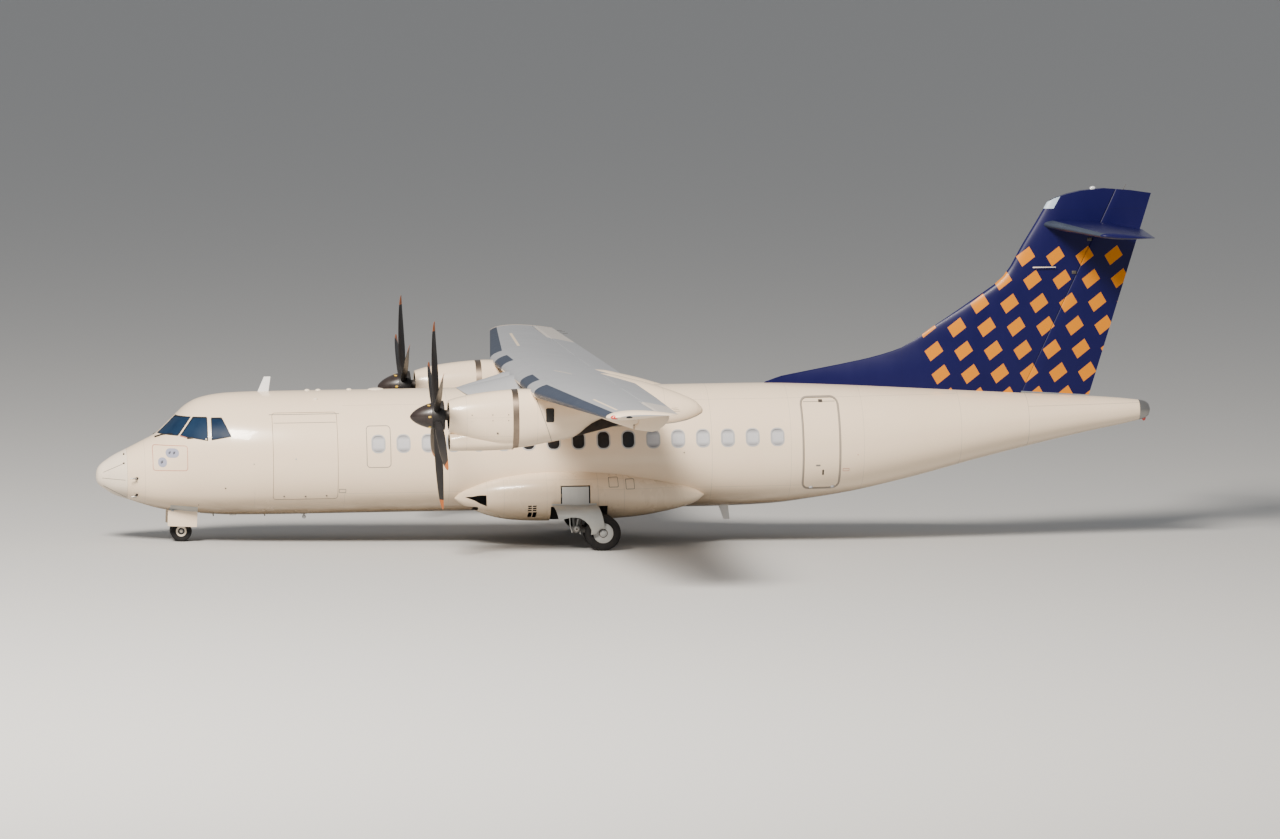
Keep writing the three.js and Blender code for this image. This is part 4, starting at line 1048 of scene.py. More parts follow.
fittings = {
    # x range, y, z, half width, height, finish
    "blisters": [
        ((4.455, 4.575), 0, 3.125, 0.05, 0.035, "nosePaint"),
        ((4.69, 4.81), 0, 3.125, 0.05, 0.035, "nosePaint"),
        ((5.35, 5.47), 0, 3.125, 0.05, 0.035, "nosePaint"), ((5.8, 6.16), 0, 3.122, 0.13, 0.04, "nosePaint"),
        ((4.6, 4.7), -0.622, 2.985, 0.035, 0.03, "nosePaint"),
        ((4.375, 4.465), 0, 0.432, 0.042, 0.042, "clearLamp"),
        ((4.32, 4.51), 0, 0.51, 0.07, 0.022, "steel"), ((22.52, 22.61), 0, 2.225, 0.045, 0.06, "redLamp"),
        ((15.12, 15.222), -1.062, 0.972, 0.045, 0.04, "rimGrey"),
        ((15.594, 15.696), -0.985, 0.972, 0.045, 0.04, "rimGrey"),
    ],
    # start, end, start and end radius, finish
    "bars": [
        ((2.476, 0, 0.56), (2.49, 0, 0.478), 0.016, 0.011, "sealGrey"),
        ((3.569, 0, 0.54), (3.585, 0, 0.462), 0.016, 0.011, "sealGrey"), ((4.42, 0, 0.52),
        (4.42, 0, 0.44), 0.022, 0.014, "steel"),
        ((2.673, -0.179, 3.078), (3.181, -0.21, 3.097), 0.006, 0.006, "sealGrey"),
        ((2.673, 0.179, 3.078), (3.181, 0.21, 3.097), 0.006, 0.006, "sealGrey"),
    ],
    # on both sides: start, end, radii, finish
    "paired": [
        ((0.87, 0.64, 1.376), (0.8, 0.735, 1.374), 0.032, 0.022, "blade"),
        ((0.83, 0.735, 1.374), (0.69, 0.735, 1.38), 0.018, 0.01, "steel"),
        ((0.87, 0.5, 1.05), (0.8, 0.6, 0.975), 0.032, 0.022, "blade"),
        ((0.83, 0.6, 0.975), (0.71, 0.6, 0.98), 0.018, 0.01, "steel"),
        ((0.57, 0.43, 1.674), (0.575, 0.49, 1.694), 0.022, 0.014, "blade"),
        ((0.581, 0.26, 1.84), (0.585, 0.31, 1.882), 0.02, 0.012, "blade"),
        ((1.25, 0.28, 2.222), (1.38, 0.43, 2.28), 0.022, 0.014, "blade"),
        ((1.37, 0.42, 2.277), (1.6, 0.69, 2.32), 0.01, 0.007, "blade"),
        ((1.75, 0.83, 2.277), (1.91, 0.95, 2.236), 0.011, 0.009, "thinLine"),
        ((1.9, 0.935, 2.23), (2.02, 0.985, 2.24), 0.022, 0.017, "blade"),
        ((2.29, 1.06, 2.215), (2.29, 1.11, 2.212), 0.022, 0.016, "hubWhite"),
        # joint, hoses and brakes of the main legs
        ((10.03, 2.15, 0.262), (10.03, 2.175, 0.262), 0.07, 0.064, "legGrey"),
        ((10.03, 2.17, 0.262), (10.03, 2.18, 0.262), 0.045, 0.043, "steel"),
        # the dark disc on the joint's end is painted shade for its hollow
        ((10.03, 2.17, 0.262), (10.03, 2.192, 0.262), 0.024, 0.022, "darkMetal"),
        ((9.895, 2.08, 0.5), (9.9, 2.1, 0.33), 0.014, 0.014, "gearGrey"),
        ((9.9, 2.1, 0.335), (9.945, 2.1, 0.185), 0.014, 0.014, "gearGrey"),
        ((9.94, 2.1, 0.19), (10.03, 2.09, 0.17), 0.012, 0.012, "darkMetal"),
        ((10.09, 2.1, 0.26), (10.12, 2.1, 0.15), 0.02, 0.014, "gearGrey"),
        ((10.13, 2.09, 0.62), (10.14, 2.1, 0.3), 0.012, 0.012, "darkMetal"),
        ((10.14, 2.1, 0.305), (10.35, 2.1, 0.2), 0.012, 0.012, "darkMetal"),
        ((10.578, 1.928, 0.182), (10.578, 1.965, 0.182), 0.15, 0.15, "darkMetal"),
        ((10.578, 2.135, 0.182), (10.578, 2.172, 0.182), 0.15, 0.15, "darkMetal"),
        ((10.46, 2.12, 0.3), (10.46, 2.19, 0.3), 0.03, 0.03, "steel"),
    ],
}


def makeFittings():
    groups = defaultdict(list)
    for x, y, z, half, high, finish in fittings["blisters"]:
        groups[finish, "airframe"].append(blister("blister", x, y, z, half, high))
    paired = [((x0, s * y0, z0), (x1, s * y1, z1), *rest)
              for (x0, y0, z0), (x1, y1, z1), *rest in fittings["paired"] for s in sides.values()]
    for start, end, r0, r1, finish in fittings["bars"] + paired:
        bar = barPiece("bar", start, end, r0, r1, 32 if r0 > 0.04 else 12, 0.002)
        groups[finish, "airframe"].append(bar)
    finishGroups(groups, "{}Fittings")


makeFittings()
print("small fittings made")


# Half thickness of a classic four digit section, as a share of the chord.
def sectionHalf(s, thickness):
    return 5 * thickness * (0.2969 * math.sqrt(s) - 0.126 * s - 0.3516 * s**2 + 0.2843 * s**3 - 0.1036 * s**4)


def camberRise(s, camber, crest=0.4):
    if s < crest:
        return camber * s * (2 * crest - s) / crest**2
    return camber * (1 - 2 * crest + 2 * crest * s - s**2) / (1 - crest) ** 2


wing = {
    # y, leading edge x, chord, leading edge z, trailing edge z, thickness share, camber share
    "rows": [(0, 8.87, 2.57, 3.362, 3.232, 0.17, 0.022), (4.54, 8.87, 2.57, 3.362, 3.232, 0.17, 0.022),
             (12.1, 9.6, 1.425, 3.452, 3.492, 0.13, 0.018), (12.18, 9.645, 1.33, 3.457, 3.492, 0.118, 0.018),
             (12.23, 9.69, 1.24, 3.462, 3.492, 0.1, 0.018), (12.265, 9.76, 1.11, 3.467, 3.49, 0.065, 0.018),
             (12.285, 9.86, 0.96, 3.472, 3.488, 0.03, 0.018)],
    "hinge": 0.72, "kink": 4.54,
    "flaps": {"flap_inner": (1.52, 3.54), "flap_outer": (4.56, 8.92)}, "aileron": (8.95, 11.9),
    "boot": 0.105, "bootSpan": (4.75, 12.0), "innerBoot": (2.0, 3.5), "tipFrom": 12.02,
    "gap": 0.015, "slot": 0.082, "wicks": [(11.3, 3.486), (10.9, 3.484), (10.45, 3.48)],
}
frontShares = [0, 0.002, 0.006, 0.012, 0.02, 0.03, 0.045, 0.07, 0.105, 0.15, 0.21, 0.28, 0.36, 0.44,
               0.52, 0.6, 0.67]
rearShares = [0.25, 0.5, 0.75, 0.92]


def rowAt(rows, y):
    for a, b in zip(rows, rows[1:]):
        if a[0] <= y <= b[0]:
            share = (y - a[0]) / (b[0] - a[0])
            return [p + (q - p) * share for p, q in zip(a, b)]
    return list(rows[-1])


def surfacePoint(row, share, side):
    y, nose, chord, noseZ, tailZ, thickness, camber = row
    half = 0 if share == 0 else max(sectionHalf(share, thickness) * chord, 0.003)
    z = noseZ + (tailZ - noseZ) * share + camberRise(share, camber) * chord + side * half
    return Vector((nose + share * chord, y, z))


# A ring of the fixed wing. With a cut, the rear points stand in the wall ahead of the flap.
def fixedRing(row, cut=None):
    end = wing["hinge"] if cut is None else wing["hinge"] - cut / row[2]
    shares = [*frontShares, end]
    upper = [surfacePoint(row, s, 1) for s in reversed(shares)]
    lower = [surfacePoint(row, s, -1) for s in shares[1:]]
    if cut is None:
        tails = [end + (1 - end) * k for k in rearShares]
        rear = [surfacePoint(row, s, -1) for s in tails] + [surfacePoint(row, 1, -1), surfacePoint(row, 1, 1)]
        rear += [surfacePoint(row, s, 1) for s in reversed(tails)]
    else:
        steps = 2 * len(rearShares) + 2
        rear = [lower[-1].lerp(upper[0], (k + 1) / (steps + 1)) for k in range(steps)]
    return upper + lower + rear


# The middle of a rounded nose: from one surface to the other round a hinge line.
def noseArc(top, bottom, depth, steps, share=1.0):
    middle = (top + bottom) / 2
    angles = [math.pi * k / steps for k in range(1, steps)]
    reach = (top - middle) * share
    return [middle + reach * math.cos(a) + Vector((-depth * math.sin(a), 0, 0)) for a in angles]


# A ring of a flap or aileron: a rounded nose round the hinge line, then both surfaces to the tail.
def movingRing(row, start, noseDepth, share=1.0):
    tails = [start + (1 - start) * k / 6 for k in range(7)]
    ring = [surfacePoint(row, s, 1) for s in reversed(tails)]
    ring += noseArc(surfacePoint(row, start, 1), surfacePoint(row, start, -1), noseDepth, 8, share)
    return ring + [surfacePoint(row, s, -1) for s in tails]


def flipped(ring):
    return [Vector((p.x, -p.y, p.z)) for p in ring]


def sideways(rings, s):
    return rings if s > 0 else [flipped(ring) for ring in rings]


frontCount = len(frontShares) + 1


def wingMarks(rings):
    def mark(i, r):
        y = abs(rings[r][0].y + rings[r + 1][0].y) / 2
        reach = frontShares.index(wing["boot"])
        onBoot = frontCount - 1 - reach <= i < frontCount - 3 + reach
        if y > wing["tipFrom"]:
            return 2
        if onBoot and any(low < y < high for low, high in (wing["bootSpan"], wing["innerBoot"])):
            return 1
        under = frontCount - 1 <= i < 2 * frontCount + len(rearShares)
        return 2 if under else 0
    return mark


# Short rods that stand off the trailing edges.
def wicks(places, s):
    made = []
    for y, z in places:
        row = rowAt(wing["rows"], y)
        x = row[1] + row[2] - 0.02
        rod = barPiece("wick", (x, s * y, z), (x + 0.12, s * y, z + 0.005), 0.004, 0.003, 6, 0)
        made.append(dress(rod, "darkMetal"))
    return made


# Stations of the hinge fairings: x from the hinge, lower and upper height, and half width.
canoe = {
    "drop": 0.47, "spots": (2.3, 5.6, 8.2),
    "front": [(-0.9, 0.3, 0.34, 0.012), (-0.7, 0.2, 0.36, 0.036), (-0.5, 0.12, 0.37, 0.045),
              (-0.3, 0.05, 0.37, 0.045), (-0.092, -0.015, 0.37, 0.045)],
    "rear": [(-0.05, -0.035, 0.06, 0.045), (0.02, -0.045, 0.12, 0.045), (0.06, -0.05, 0.38, 0.045),
             (0.29, -0.085, 0.38, 0.045), (0.42, -0.06, 0.38, 0.0405), (0.55, 0.04, 0.36, 0.0315),
             (0.64, 0.14, 0.28, 0.018), (0.655, 0.19, 0.25, 0.009)],
}


# Hinge fairings under the flaps: slim fish bodies, the rear part on the flap and the front part on the wing.
def canoes(name, s, part):
    y0, y1 = wing["flaps"][name]
    made = []
    for y in canoe["spots"]:
        if not y0 < y < y1:
            continue
        row = rowAt(wing["rows"], y)
        hinge = row[1] + wing["hinge"] * row[2] - 0.02
        z = row[3] + (row[4] - row[3]) * wing["hinge"] - canoe["drop"]
        stations = [(hinge + x, s * y, z + (low + high) / 2, wide, (high - low) / 2, (high - low) / 2)
                    for x, low, high, wide in canoe[part]]
        made.append(dress(ringLoft("canoe", stations, 5, 0.62), "wingWhite"))
    return made


def makeWing():
    rows, hinge, kink = wing["rows"], wing["hinge"], wing["kink"]
    gap, slot, looks = wing["gap"], wing["slot"], ("wingGrey", "boot", "wingWhite")
    inner, outer = wing["flaps"]["flap_inner"], wing["flaps"]["flap_outer"]
    half = [(kink - 0.0003, None), (inner[1] + gap, None), (inner[1] + gap, gap), (wing["innerBoot"][1], gap),
            (wing["innerBoot"][0], gap), (inner[0] - gap, gap), (inner[0] - gap, None)]
    rings = [flipped(fixedRing(rowAt(rows, y), cut)) for y, cut in half]
    rings += [fixedRing(rowAt(rows, y), cut) for y, cut in reversed(half)]
    centre = dress(sectionSkin("wingCentreSkin", rings, wingMarks(rings)), *looks)
    joinInto(centre, *(piece for s in sides.values() for piece in canoes("flap_inner", s, "front")))
    finished(centre, "airframe", "grey_paint", "wing_centre")
    aileron = wing["aileron"]
    plan = [(kink + 0.0003, None), (outer[0] - gap, None), (outer[0] - gap, gap), (wing["bootSpan"][0], gap),
            (outer[1] + gap, gap), (outer[1] + gap, slot), (aileron[1] + gap, slot), (aileron[1] + gap, None),
            (wing["bootSpan"][1], None), *((row[0], None) for row in rows[2:])]
    for side, s in sides.items():
        rings = sideways([fixedRing(rowAt(rows, y), cut) for y, cut in plan], s)
        panel = dress(sectionSkin("wingOuterSkin_" + side, rings, wingMarks(rings)), *looks)
        joinInto(panel, *canoes("flap_outer", s, "front"))
        finished(panel, "airframe", "grey_paint", "wing_outer_" + side)
        flaps = {}
        for name, (y0, y1) in wing["flaps"].items():
            spots = [rowAt(rows, y) for y in (y0, y0 + 0.004, y1 - 0.004, y1)]
            flaps[name] = ([movingRing(row, hinge + 0.03 / row[2], 0.03) for row in spots], "wingGrey",
                           lambda: canoes(name, s, "rear"))
        spots = [rowAt(rows, y) for y in aileron]
        flaps["aileron"] = ([movingRing(row, hinge + 0.01, sectionHalf(hinge, row[5]) * row[2] * 0.9, 0.9)
                             for row in spots], "aileronPale", lambda: wicks(wing["wicks"], s))
        for name, (rings, look, extras) in flaps.items():
            flap = sectionSkin(name + "Skin_" + side, sideways(rings, s), lambda i, r: int(i > 10))
            joinInto(dress(flap, look, "wingWhite"), *extras())
            finished(flap, name + "_" + side, "grey_paint", name + "_" + side)


makeWing()

tipLamps = {
    "glass": {"left": "redLamp", "right": "greenLamp"},
    # x range, y, z, half width and height
    "lamp": ((9.66, 9.86), 12.2, 3.462, 0.062, 0.046), "rear": ((9.93, 10.12), 12.25, 3.474, 0.042, 0.034),
}


def makeTipLamps():
    for side, s in sides.items():
        lamp, rear = (blister("tipLamp_" + side, x, s * y, *rest)
                      for x, y, *rest in (tipLamps["lamp"], tipLamps["rear"]))
        dress(lamp, tipLamps["glass"][side], "cabinGlass")
        finished(joinInto(lamp, dress(rear, "cabinGlass")), "airframe", "glazing")


makeTipLamps()
print("wing made")


def ellipseRing(x, middle, chord, out, count=36):
    turns = [2 * math.pi * k / count for k in range(count)]
    return [Vector((x, *(middle + chord * math.cos(a) + out * math.sin(a)))) for a in turns]


# Fairing where the wing crosses the cabin, in millimetres: station, upper edge y and z,
# lower edge y and z, and bulge.
saddleTable = [
    (7700, 0, 3128, 120, 3124, 6), (7780, 0, 3129, 400, 3075, 40), (7930, 0, 3130, 640, 2995, 110),
    (8250, 0, 3130, 1000, 2790, 270), (8600, 0, 3140, 1190, 2570, 460),
    (8900, 0, 3150, 1270, 2450, 600), (9600, 0, 3150, 1300, 2380, 650), (10800, 0, 3150, 1300, 2360, 640),
    (11420, 180, 3120, 1285, 2375, 500), (12130, 560, 3010, 1246, 2400, 330),
    (12440, 740, 2920, 1220, 2450, 255),
    (12716, 905, 2805, 1160, 2535, 165), (12836, 1010, 2700, 1114, 2600, 70),
]
seal = {"radius": 0.012, "upperFrom": 11.5}


def makeSaddles():
    rings, lowerBeads, upperBeads = [], [], []
    for row in faired(saddleTable, 4):
        x, upperY, upperZ, lowerY, lowerZ, bulge = (v / 1000 for v in row)
        upper, lower = Vector((upperY, upperZ)), Vector((lowerY, lowerZ))
        chord = (lower - upper) / 2
        out = Vector((-chord.y, chord.x)).normalized() * bulge
        rings.append(ellipseRing(x, (upper + lower) / 2, chord, out))
        thick = seal["radius"]
        for beads, edge in ((lowerBeads, lower), (upperBeads, upper)):
            if beads is lowerBeads or x > seal["upperFrom"]:
                beads.append(ellipseRing(x, edge, Vector((thick, 0)), Vector((0, thick)), 8))
    right = dress(sectionSkin("wingSaddle_right", rings), "saddlePaint", "wingGrey")
    markFaces(right, 1, lambda c, n: c.x < 9.1 and c.z > 2.86 - (9.1 - c.x) * 0.1)
    finishedPair(right, "white_paint", "wing_fairing", angle=50)
    line = joinInto(*(sectionSkin("saddleSeal_right", beads) for beads in (lowerBeads, upperBeads)))
    finishedPair(dress(line, "sealGrey"), "grey_paint")


makeSaddles()

nacelle = {
    # station, top, bottom and half width, in millimetres
    "cowl": [(7160, 3195, 2535, 335), (7400, 3265, 2405, 400), (7800, 3335, 2262, 445), (8340, 3392, 2165, 470),
             (8700, 3410, 2192, 478), (9290, 3380, 2290, 478), (9770, 3345, 2385, 470),
             (10150, 3320, 2660, 450),
             (10600, 3290, 2850, 415), (11100, 3235, 3010, 340), (11380, 3190, 3110, 260)],
    "chin": [(7170, 2500, 2140, 250), (7400, 2560, 2136, 285), (7900, 2600, 2132, 320),
             (8500, 2600, 2150, 330)],
    "out": 4.05, "band": (8.477, 8.603), "rearSeam": [(8.88, 3.46), (8.892, 3.46), (9.36, 2.16), (9.348, 2.16)],
    "rounding": {"cowl": (10, 0.5473), "chin": (8, 0.5868)}, "bandProud": 0.0035,
    # x, z, half width and half height of the inlet
    "mouth": [(7.1, 2.32, 0.226, 0.158), (7.3, 2.32, 0.22, 0.15), (7.7, 2.31, 0.17, 0.09)],
    "axis": 2.87, "bay": (7.0, 7.35), "bayRadius": 0.285,
    "pipe": ((9.8, 2.585), (10.72, 2.81)), "pipeRadius": 0.19, "boreFrom": (10.1, 2.659), "boreRadius": 0.168,
    "drain": (8.149, 2.525, 0.437), "catchX": (7.62, 8.38, 8.05), "catchZ": (2.79, 2.91),
    "vent": ((9.16, 9.33), (2.74, 3.03)),
}


# A closed form of rounded sections from a table of station, top, bottom and half width.
def cowling(name, key, grow=0.0):
    stations = []
    for row in faired(nacelle[key], 3):
        x, top, bottom, half = (v / 1000 for v in row)
        high = (top - bottom) / 2 + grow
        stations.append((x, -nacelle["out"], (top + bottom) / 2, half + grow, high, high))
    return ringLoft(name, stations, *nacelle["rounding"][key])


# Half width of the cowl at its middle.
def nacelleSide(x):
    a, b = next((a, b) for a, b in zip(nacelle["cowl"], nacelle["cowl"][1:]) if a[0] <= x * 1000 <= b[0])
    return (a[3] + (b[3] - a[3]) * (x * 1000 - a[0]) / (b[0] - a[0])) / 1000


def makeNacelle():
    y, looks = -nacelle["out"], ("nacellePaint", "darkVoid", "darkMetal")
    body = dress(cowling("nacelleSkin_left", "cowl"), *looks)
    combine(body, dress(cowling("chin", "chin"), *looks), "UNION")
    mouth = ringLoft("mouth", [(x, y, z, wide, high, high) for x, z, wide, high in nacelle["mouth"]],
                     *nacelle["rounding"]["chin"])
    ends = ((x, y, nacelle["axis"]) for x in nacelle["bay"])
    bay = barPiece("bay", *ends, nacelle["bayRadius"], facets=48, bevel=0)
    start, end = (Vector((x, y, z)) for x, z in nacelle["pipe"])
    way, radius = (end - start).normalized(), nacelle["pipeRadius"]
    hole = barPiece("hole", start, end + way * 0.2, radius + 0.004, facets=40, bevel=0)
    for cutter in (mouth, bay, hole):
        hollow(body, cutter, looks)
    selectWhere(body, lambda c, n: n.x < -0.9 and c.x < 7.25)
    bpy.ops.mesh.bevel(offset=0.012, segments=3, profile=0.5, affect="EDGES")
    leaveEdit()
    band = cowling("polishedBand_left", "cowl", nacelle["bandProud"])
    combine(band, cowling("chinBand", "chin", nacelle["bandProud"]), "UNION")
    dress(keepBetween(band, *nacelle["band"]), "polished")
    pipe = dress(barPiece("exhaustPipe_left", start, end, radius, facets=48, bevel=0), "exhaust", "darkVoid")
    x, z = nacelle["boreFrom"]
    bore = barPiece("bore", (x, y, z), end + way * 0.1, nacelle["boreRadius"], facets=48, bevel=0)
    hollow(pipe, bore, ("exhaust", "darkVoid"))
    seam = cowling("rearSeam_left", "cowl", 0.003)
    combine(seam, crossPlate("cut", nacelle["rearSeam"], y - 0.7, y + 0.7), "INTERSECT")
    dress(seam, "sealGrey")
    x, z, out = nacelle["drain"]
    spots = [barPiece("drainSpot_left", (x, y - out + 0.03, z), (x, y - out - 0.008, z), 0.018,
                      facets=14, bevel=0.001)]
    for x in nacelle["catchX"]:
        for z in nacelle["catchZ"]:
            spots.append(barPiece("catch", (x, y - 0.4, z), (x, y - nacelleSide(x) - 0.003, z), 0.011,
                                  facets=10, bevel=0.001))
    spots = dress(joinInto(*spots), "darkMetal")
    # The vent is a near black plate: painted shade standing for its opening.
    vent = roundedPrism("coolingVent_left", *nacelle["vent"], (y - 0.484, y - 0.40), 0.03)
    dress(vent, "darkVoid")
    for piece, slot, node in ((body, "white_paint", "nacelle"), (band, "bare_steel", None),
                              (pipe, "black_composite", "exhaust"), (vent, "black_composite", None),
                              (seam, "grey_paint", None), (spots, "grey_paint", None)):
        finishedPair(piece, slot, node, 35)


makeNacelle()
print("nacelles made")

propeller = {
    "hub": (6.9, 4.05, 2.88), "tilt": math.radians(2), "blades": 6,
    # radius, chord, pitch in degrees from the disc, thickness and lean aft, in millimetres
    "rows": [(180, 130, 70, 115, 0), (300, 140, 65, 100, 0), (480, 180, 56, 72, 0), (850, 240, 41, 40, 6),
             (1250, 260, 31, 26, 12), (1650, 215, 25, 17, 25), (1820, 160, 23, 12, 37), (1900, 115, 22, 10, 45),
             (1945, 75, 21.5, 8, 53), (1965, 40, 21, 6, 58)],
    "tipFrom": 1.71, "shaft": [(0.15, 0.11), (0.32, 0.11)],
    "hubProfile": [(-0.095, 0.03), (-0.095, 0.271), (0.06, 0.285), (0.09, 0.307), (0.165, 0.307), (0.17, 0.30),
                   (0.17, 0.02)],
    "mark": ((-0.175, -0.105), (-0.018, 0.018), (0.2535, 0.2685)), "markTurn": math.radians(14.5),
    "markMiddle": (-0.14, 0, 0.261),
    "cone": [(-0.545, 0.006), (-0.535, 0.034), (-0.515, 0.06), (-0.43, 0.135), (-0.31, 0.2), (-0.19, 0.245),
             (-0.0955, 0.271)],
}


def bladeRing(row):
    radius, chord, pitch, thick, lean = (v / 1000 for v in row)
    turn, steps = math.radians(pitch * 1000), 14
    shares = [0.5 - 0.5 * math.cos(math.pi * k / steps) for k in range(steps + 1)]
    points = []
    for s, side in [(s, 1.05) for s in shares] + [(s, -0.85) for s in shares[-2:0:-1]]:
        c, t = (s - 0.4) * chord, side * sectionHalf(s, 1) * thick
        points.append(Vector((lean + c * math.sin(turn) + t * math.cos(turn),
                              c * math.cos(turn) - t * math.sin(turn), radius)))
    return points


def turnPiece(piece, angle, axis="X", center=(0, 0, 0)):
    openUp(piece)
    bpy.ops.transform.rotate(value=-angle, orient_axis=axis, center_override=center)
    leaveEdit()


def placeRotor(piece, side, node):
    closeUp(piece)
    x, y, z = propeller["hub"]
    settled(piece, (0, -propeller["tilt"], 0), (x, sides[side] * y, z))
    finished(piece, "rotor_" + side, "black_composite", node + "_" + side, clean=False)


def makePropellers():
    rows = faired(propeller["rows"], 3)
    step = 2 * math.pi / propeller["blades"]
    for side in sides:
        blades = []
        for k in range(propeller["blades"]):
            blade = sectionSkin("blade", [bladeRing(row) for row in rows],
                                lambda i, r: int(rows[r][0] / 1000 > propeller["tipFrom"]))
            turnPiece(dress(blade, "blade", "bladeTip"), k * step)
            blades.append(blade)
        hub = dress(turned("propeller_hub", propeller["hubProfile"], 64), "blade", "bladeTip", "darkMetal")
        shaft = dress(turned("shaft", propeller["shaft"], 40), "darkMetal")
        placeRotor(rename(joinInto(hub, shaft, *blades), "propellerBlades_" + side), side, "propeller")
        cone = dress(turned("spinnerCone_" + side, faired(propeller["cone"], 3), 64), "spinner", "yellowMark")
        marks = []
        for k in range(propeller["blades"]):
            mark = dress(boxPiece("mark", *propeller["mark"], 0.002), "yellowMark")
            turnPiece(mark, propeller["markTurn"], "Y", propeller["markMiddle"])
            turnPiece(mark, (k + 0.5) * step)
            marks.append(mark)
        placeRotor(joinInto(cone, *marks), side, "spinner")


makePropellers()
print("propellers made")

tail = {
    # height, leading edge x, thickness, and how far aft the thickest place sits, in millimetres
    "fin": [(2600, 14000, 300, 2.2), (3154, 14340, 300, 2.2), (3502, 15970, 300, 2), (3625, 16590, 300, 1.9),
            (3833, 17293, 295, 1.7), (4259, 17963, 290, 1.4), (4817, 18808, 280, 1.15), (5331, 19513, 270, 1),
            (6000, 19922, 260, 1), (6750, 20382, 245, 1), (7220, 20640, 210, 1)],
    "trailing": ((21.361, 2.73), (22.735, 7.075)), "hinge": ((19.864, 2.728), (21.985, 7.17)),
    "top": [(13, 2), (24.5, 2), (24.5, 6.857), (22.735, 7.075), (22.3, 7.142), (21.694, 7.195), (21.2, 7.15),
            (20.9, 7.085), (20.62, 6.99), (20.454, 6.899), (20.382, 6.75), (13, 6.75)],
    "wall": 0.106, "lip": 0.06, "rudderNose": (0.088, 0.06),
    # y, leading edge x, chord, leading edge z, trailing edge z, thickness share, camber share
    "plane": [(0, 20.371, 2.11, 6.435, 6.335, 0.12, 0), (3.56, 21.01, 1.18, 6.395, 6.325, 0.11, 0),
              (3.61, 21.06, 1.09, 6.391, 6.327, 0.09, 0), (3.64, 21.12, 0.99, 6.388, 6.329, 0.07, 0),
              (3.655, 21.19, 0.9, 6.385, 6.33, 0.05, 0)],
    "elevatorHinge": 21.755, "elevatorTip": 3.56,
    "tipEdge": [(20.2, 6.775), (20.6, 6.775), (20.84, 7.2), (20.2, 7.2)], "rod": (20.13, 20.63, 5.52),
    "fittings": (5.398, 6.103), "across": 0.6, "elevatorNose": (0.062, 0.034),
    "beacon": ((21.4, 21.53), 0, 7.195, 0.035, 0.045),
    "mast": ((22.12, 0, 7.14), (22.19, 0, 7.27), 0.008, 0.004),
    "below": [(19, 2.93), (22.6, 2.66), (22.6, 2), (19, 2)],
    # half width of the gap between the elevators
    "notch": [(21.4, 0.132), (21.6, 0.14), (22.7, 0.76)],
}


def lineAt(pair, z):
    (x0, z0), (x1, z1) = pair
    return x0 + (z - z0) * (x1 - x0) / (z1 - z0)


def finPoint(row, x, side):
    z, nose, thickness, aft = row
    chord = lineAt(tail["trailing"], z) - nose
    s = min(max((x - nose) / chord, 0), 1)
    half = 0 if s == 0 else max(sectionHalf(s ** aft, 1) * thickness, 0.004)
    return Vector((x, side * half, z))


# A ring of the fixed tail. Thin lips reach past its rear wall toward the hinge.
def wallRing(row, nose, wall, point, lip):
    spread = [nose + (wall - nose) * s / wing["hinge"] for s in frontShares] + [wall]
    ring = [point(row, x, 1) for x in reversed(spread)] + [point(row, x, -1) for x in spread[1:]]
    top, bottom = point(row, wall + lip, 1), point(row, wall + lip, -1)
    inward = (bottom - top) * min(0.004 / (bottom - top).length, 0.3)
    return [top, *ring, bottom, bottom - inward, ring[-1] - inward, ring[0] + inward, top + inward]


def controlRing(row, hinge, end, depth, point):
    xs = [hinge + (end - hinge) * k / 6 for k in range(7)]
    return [*(point(row, x, 1) for x in reversed(xs)),
            *noseArc(point(row, hinge, 1), point(row, hinge, -1), depth, 9), *(point(row, x, -1) for x in xs)]


# A plate right across the tail from its side view.
def tailPlate(name, points):
    return crossPlate(name, points, -tail["across"], tail["across"])


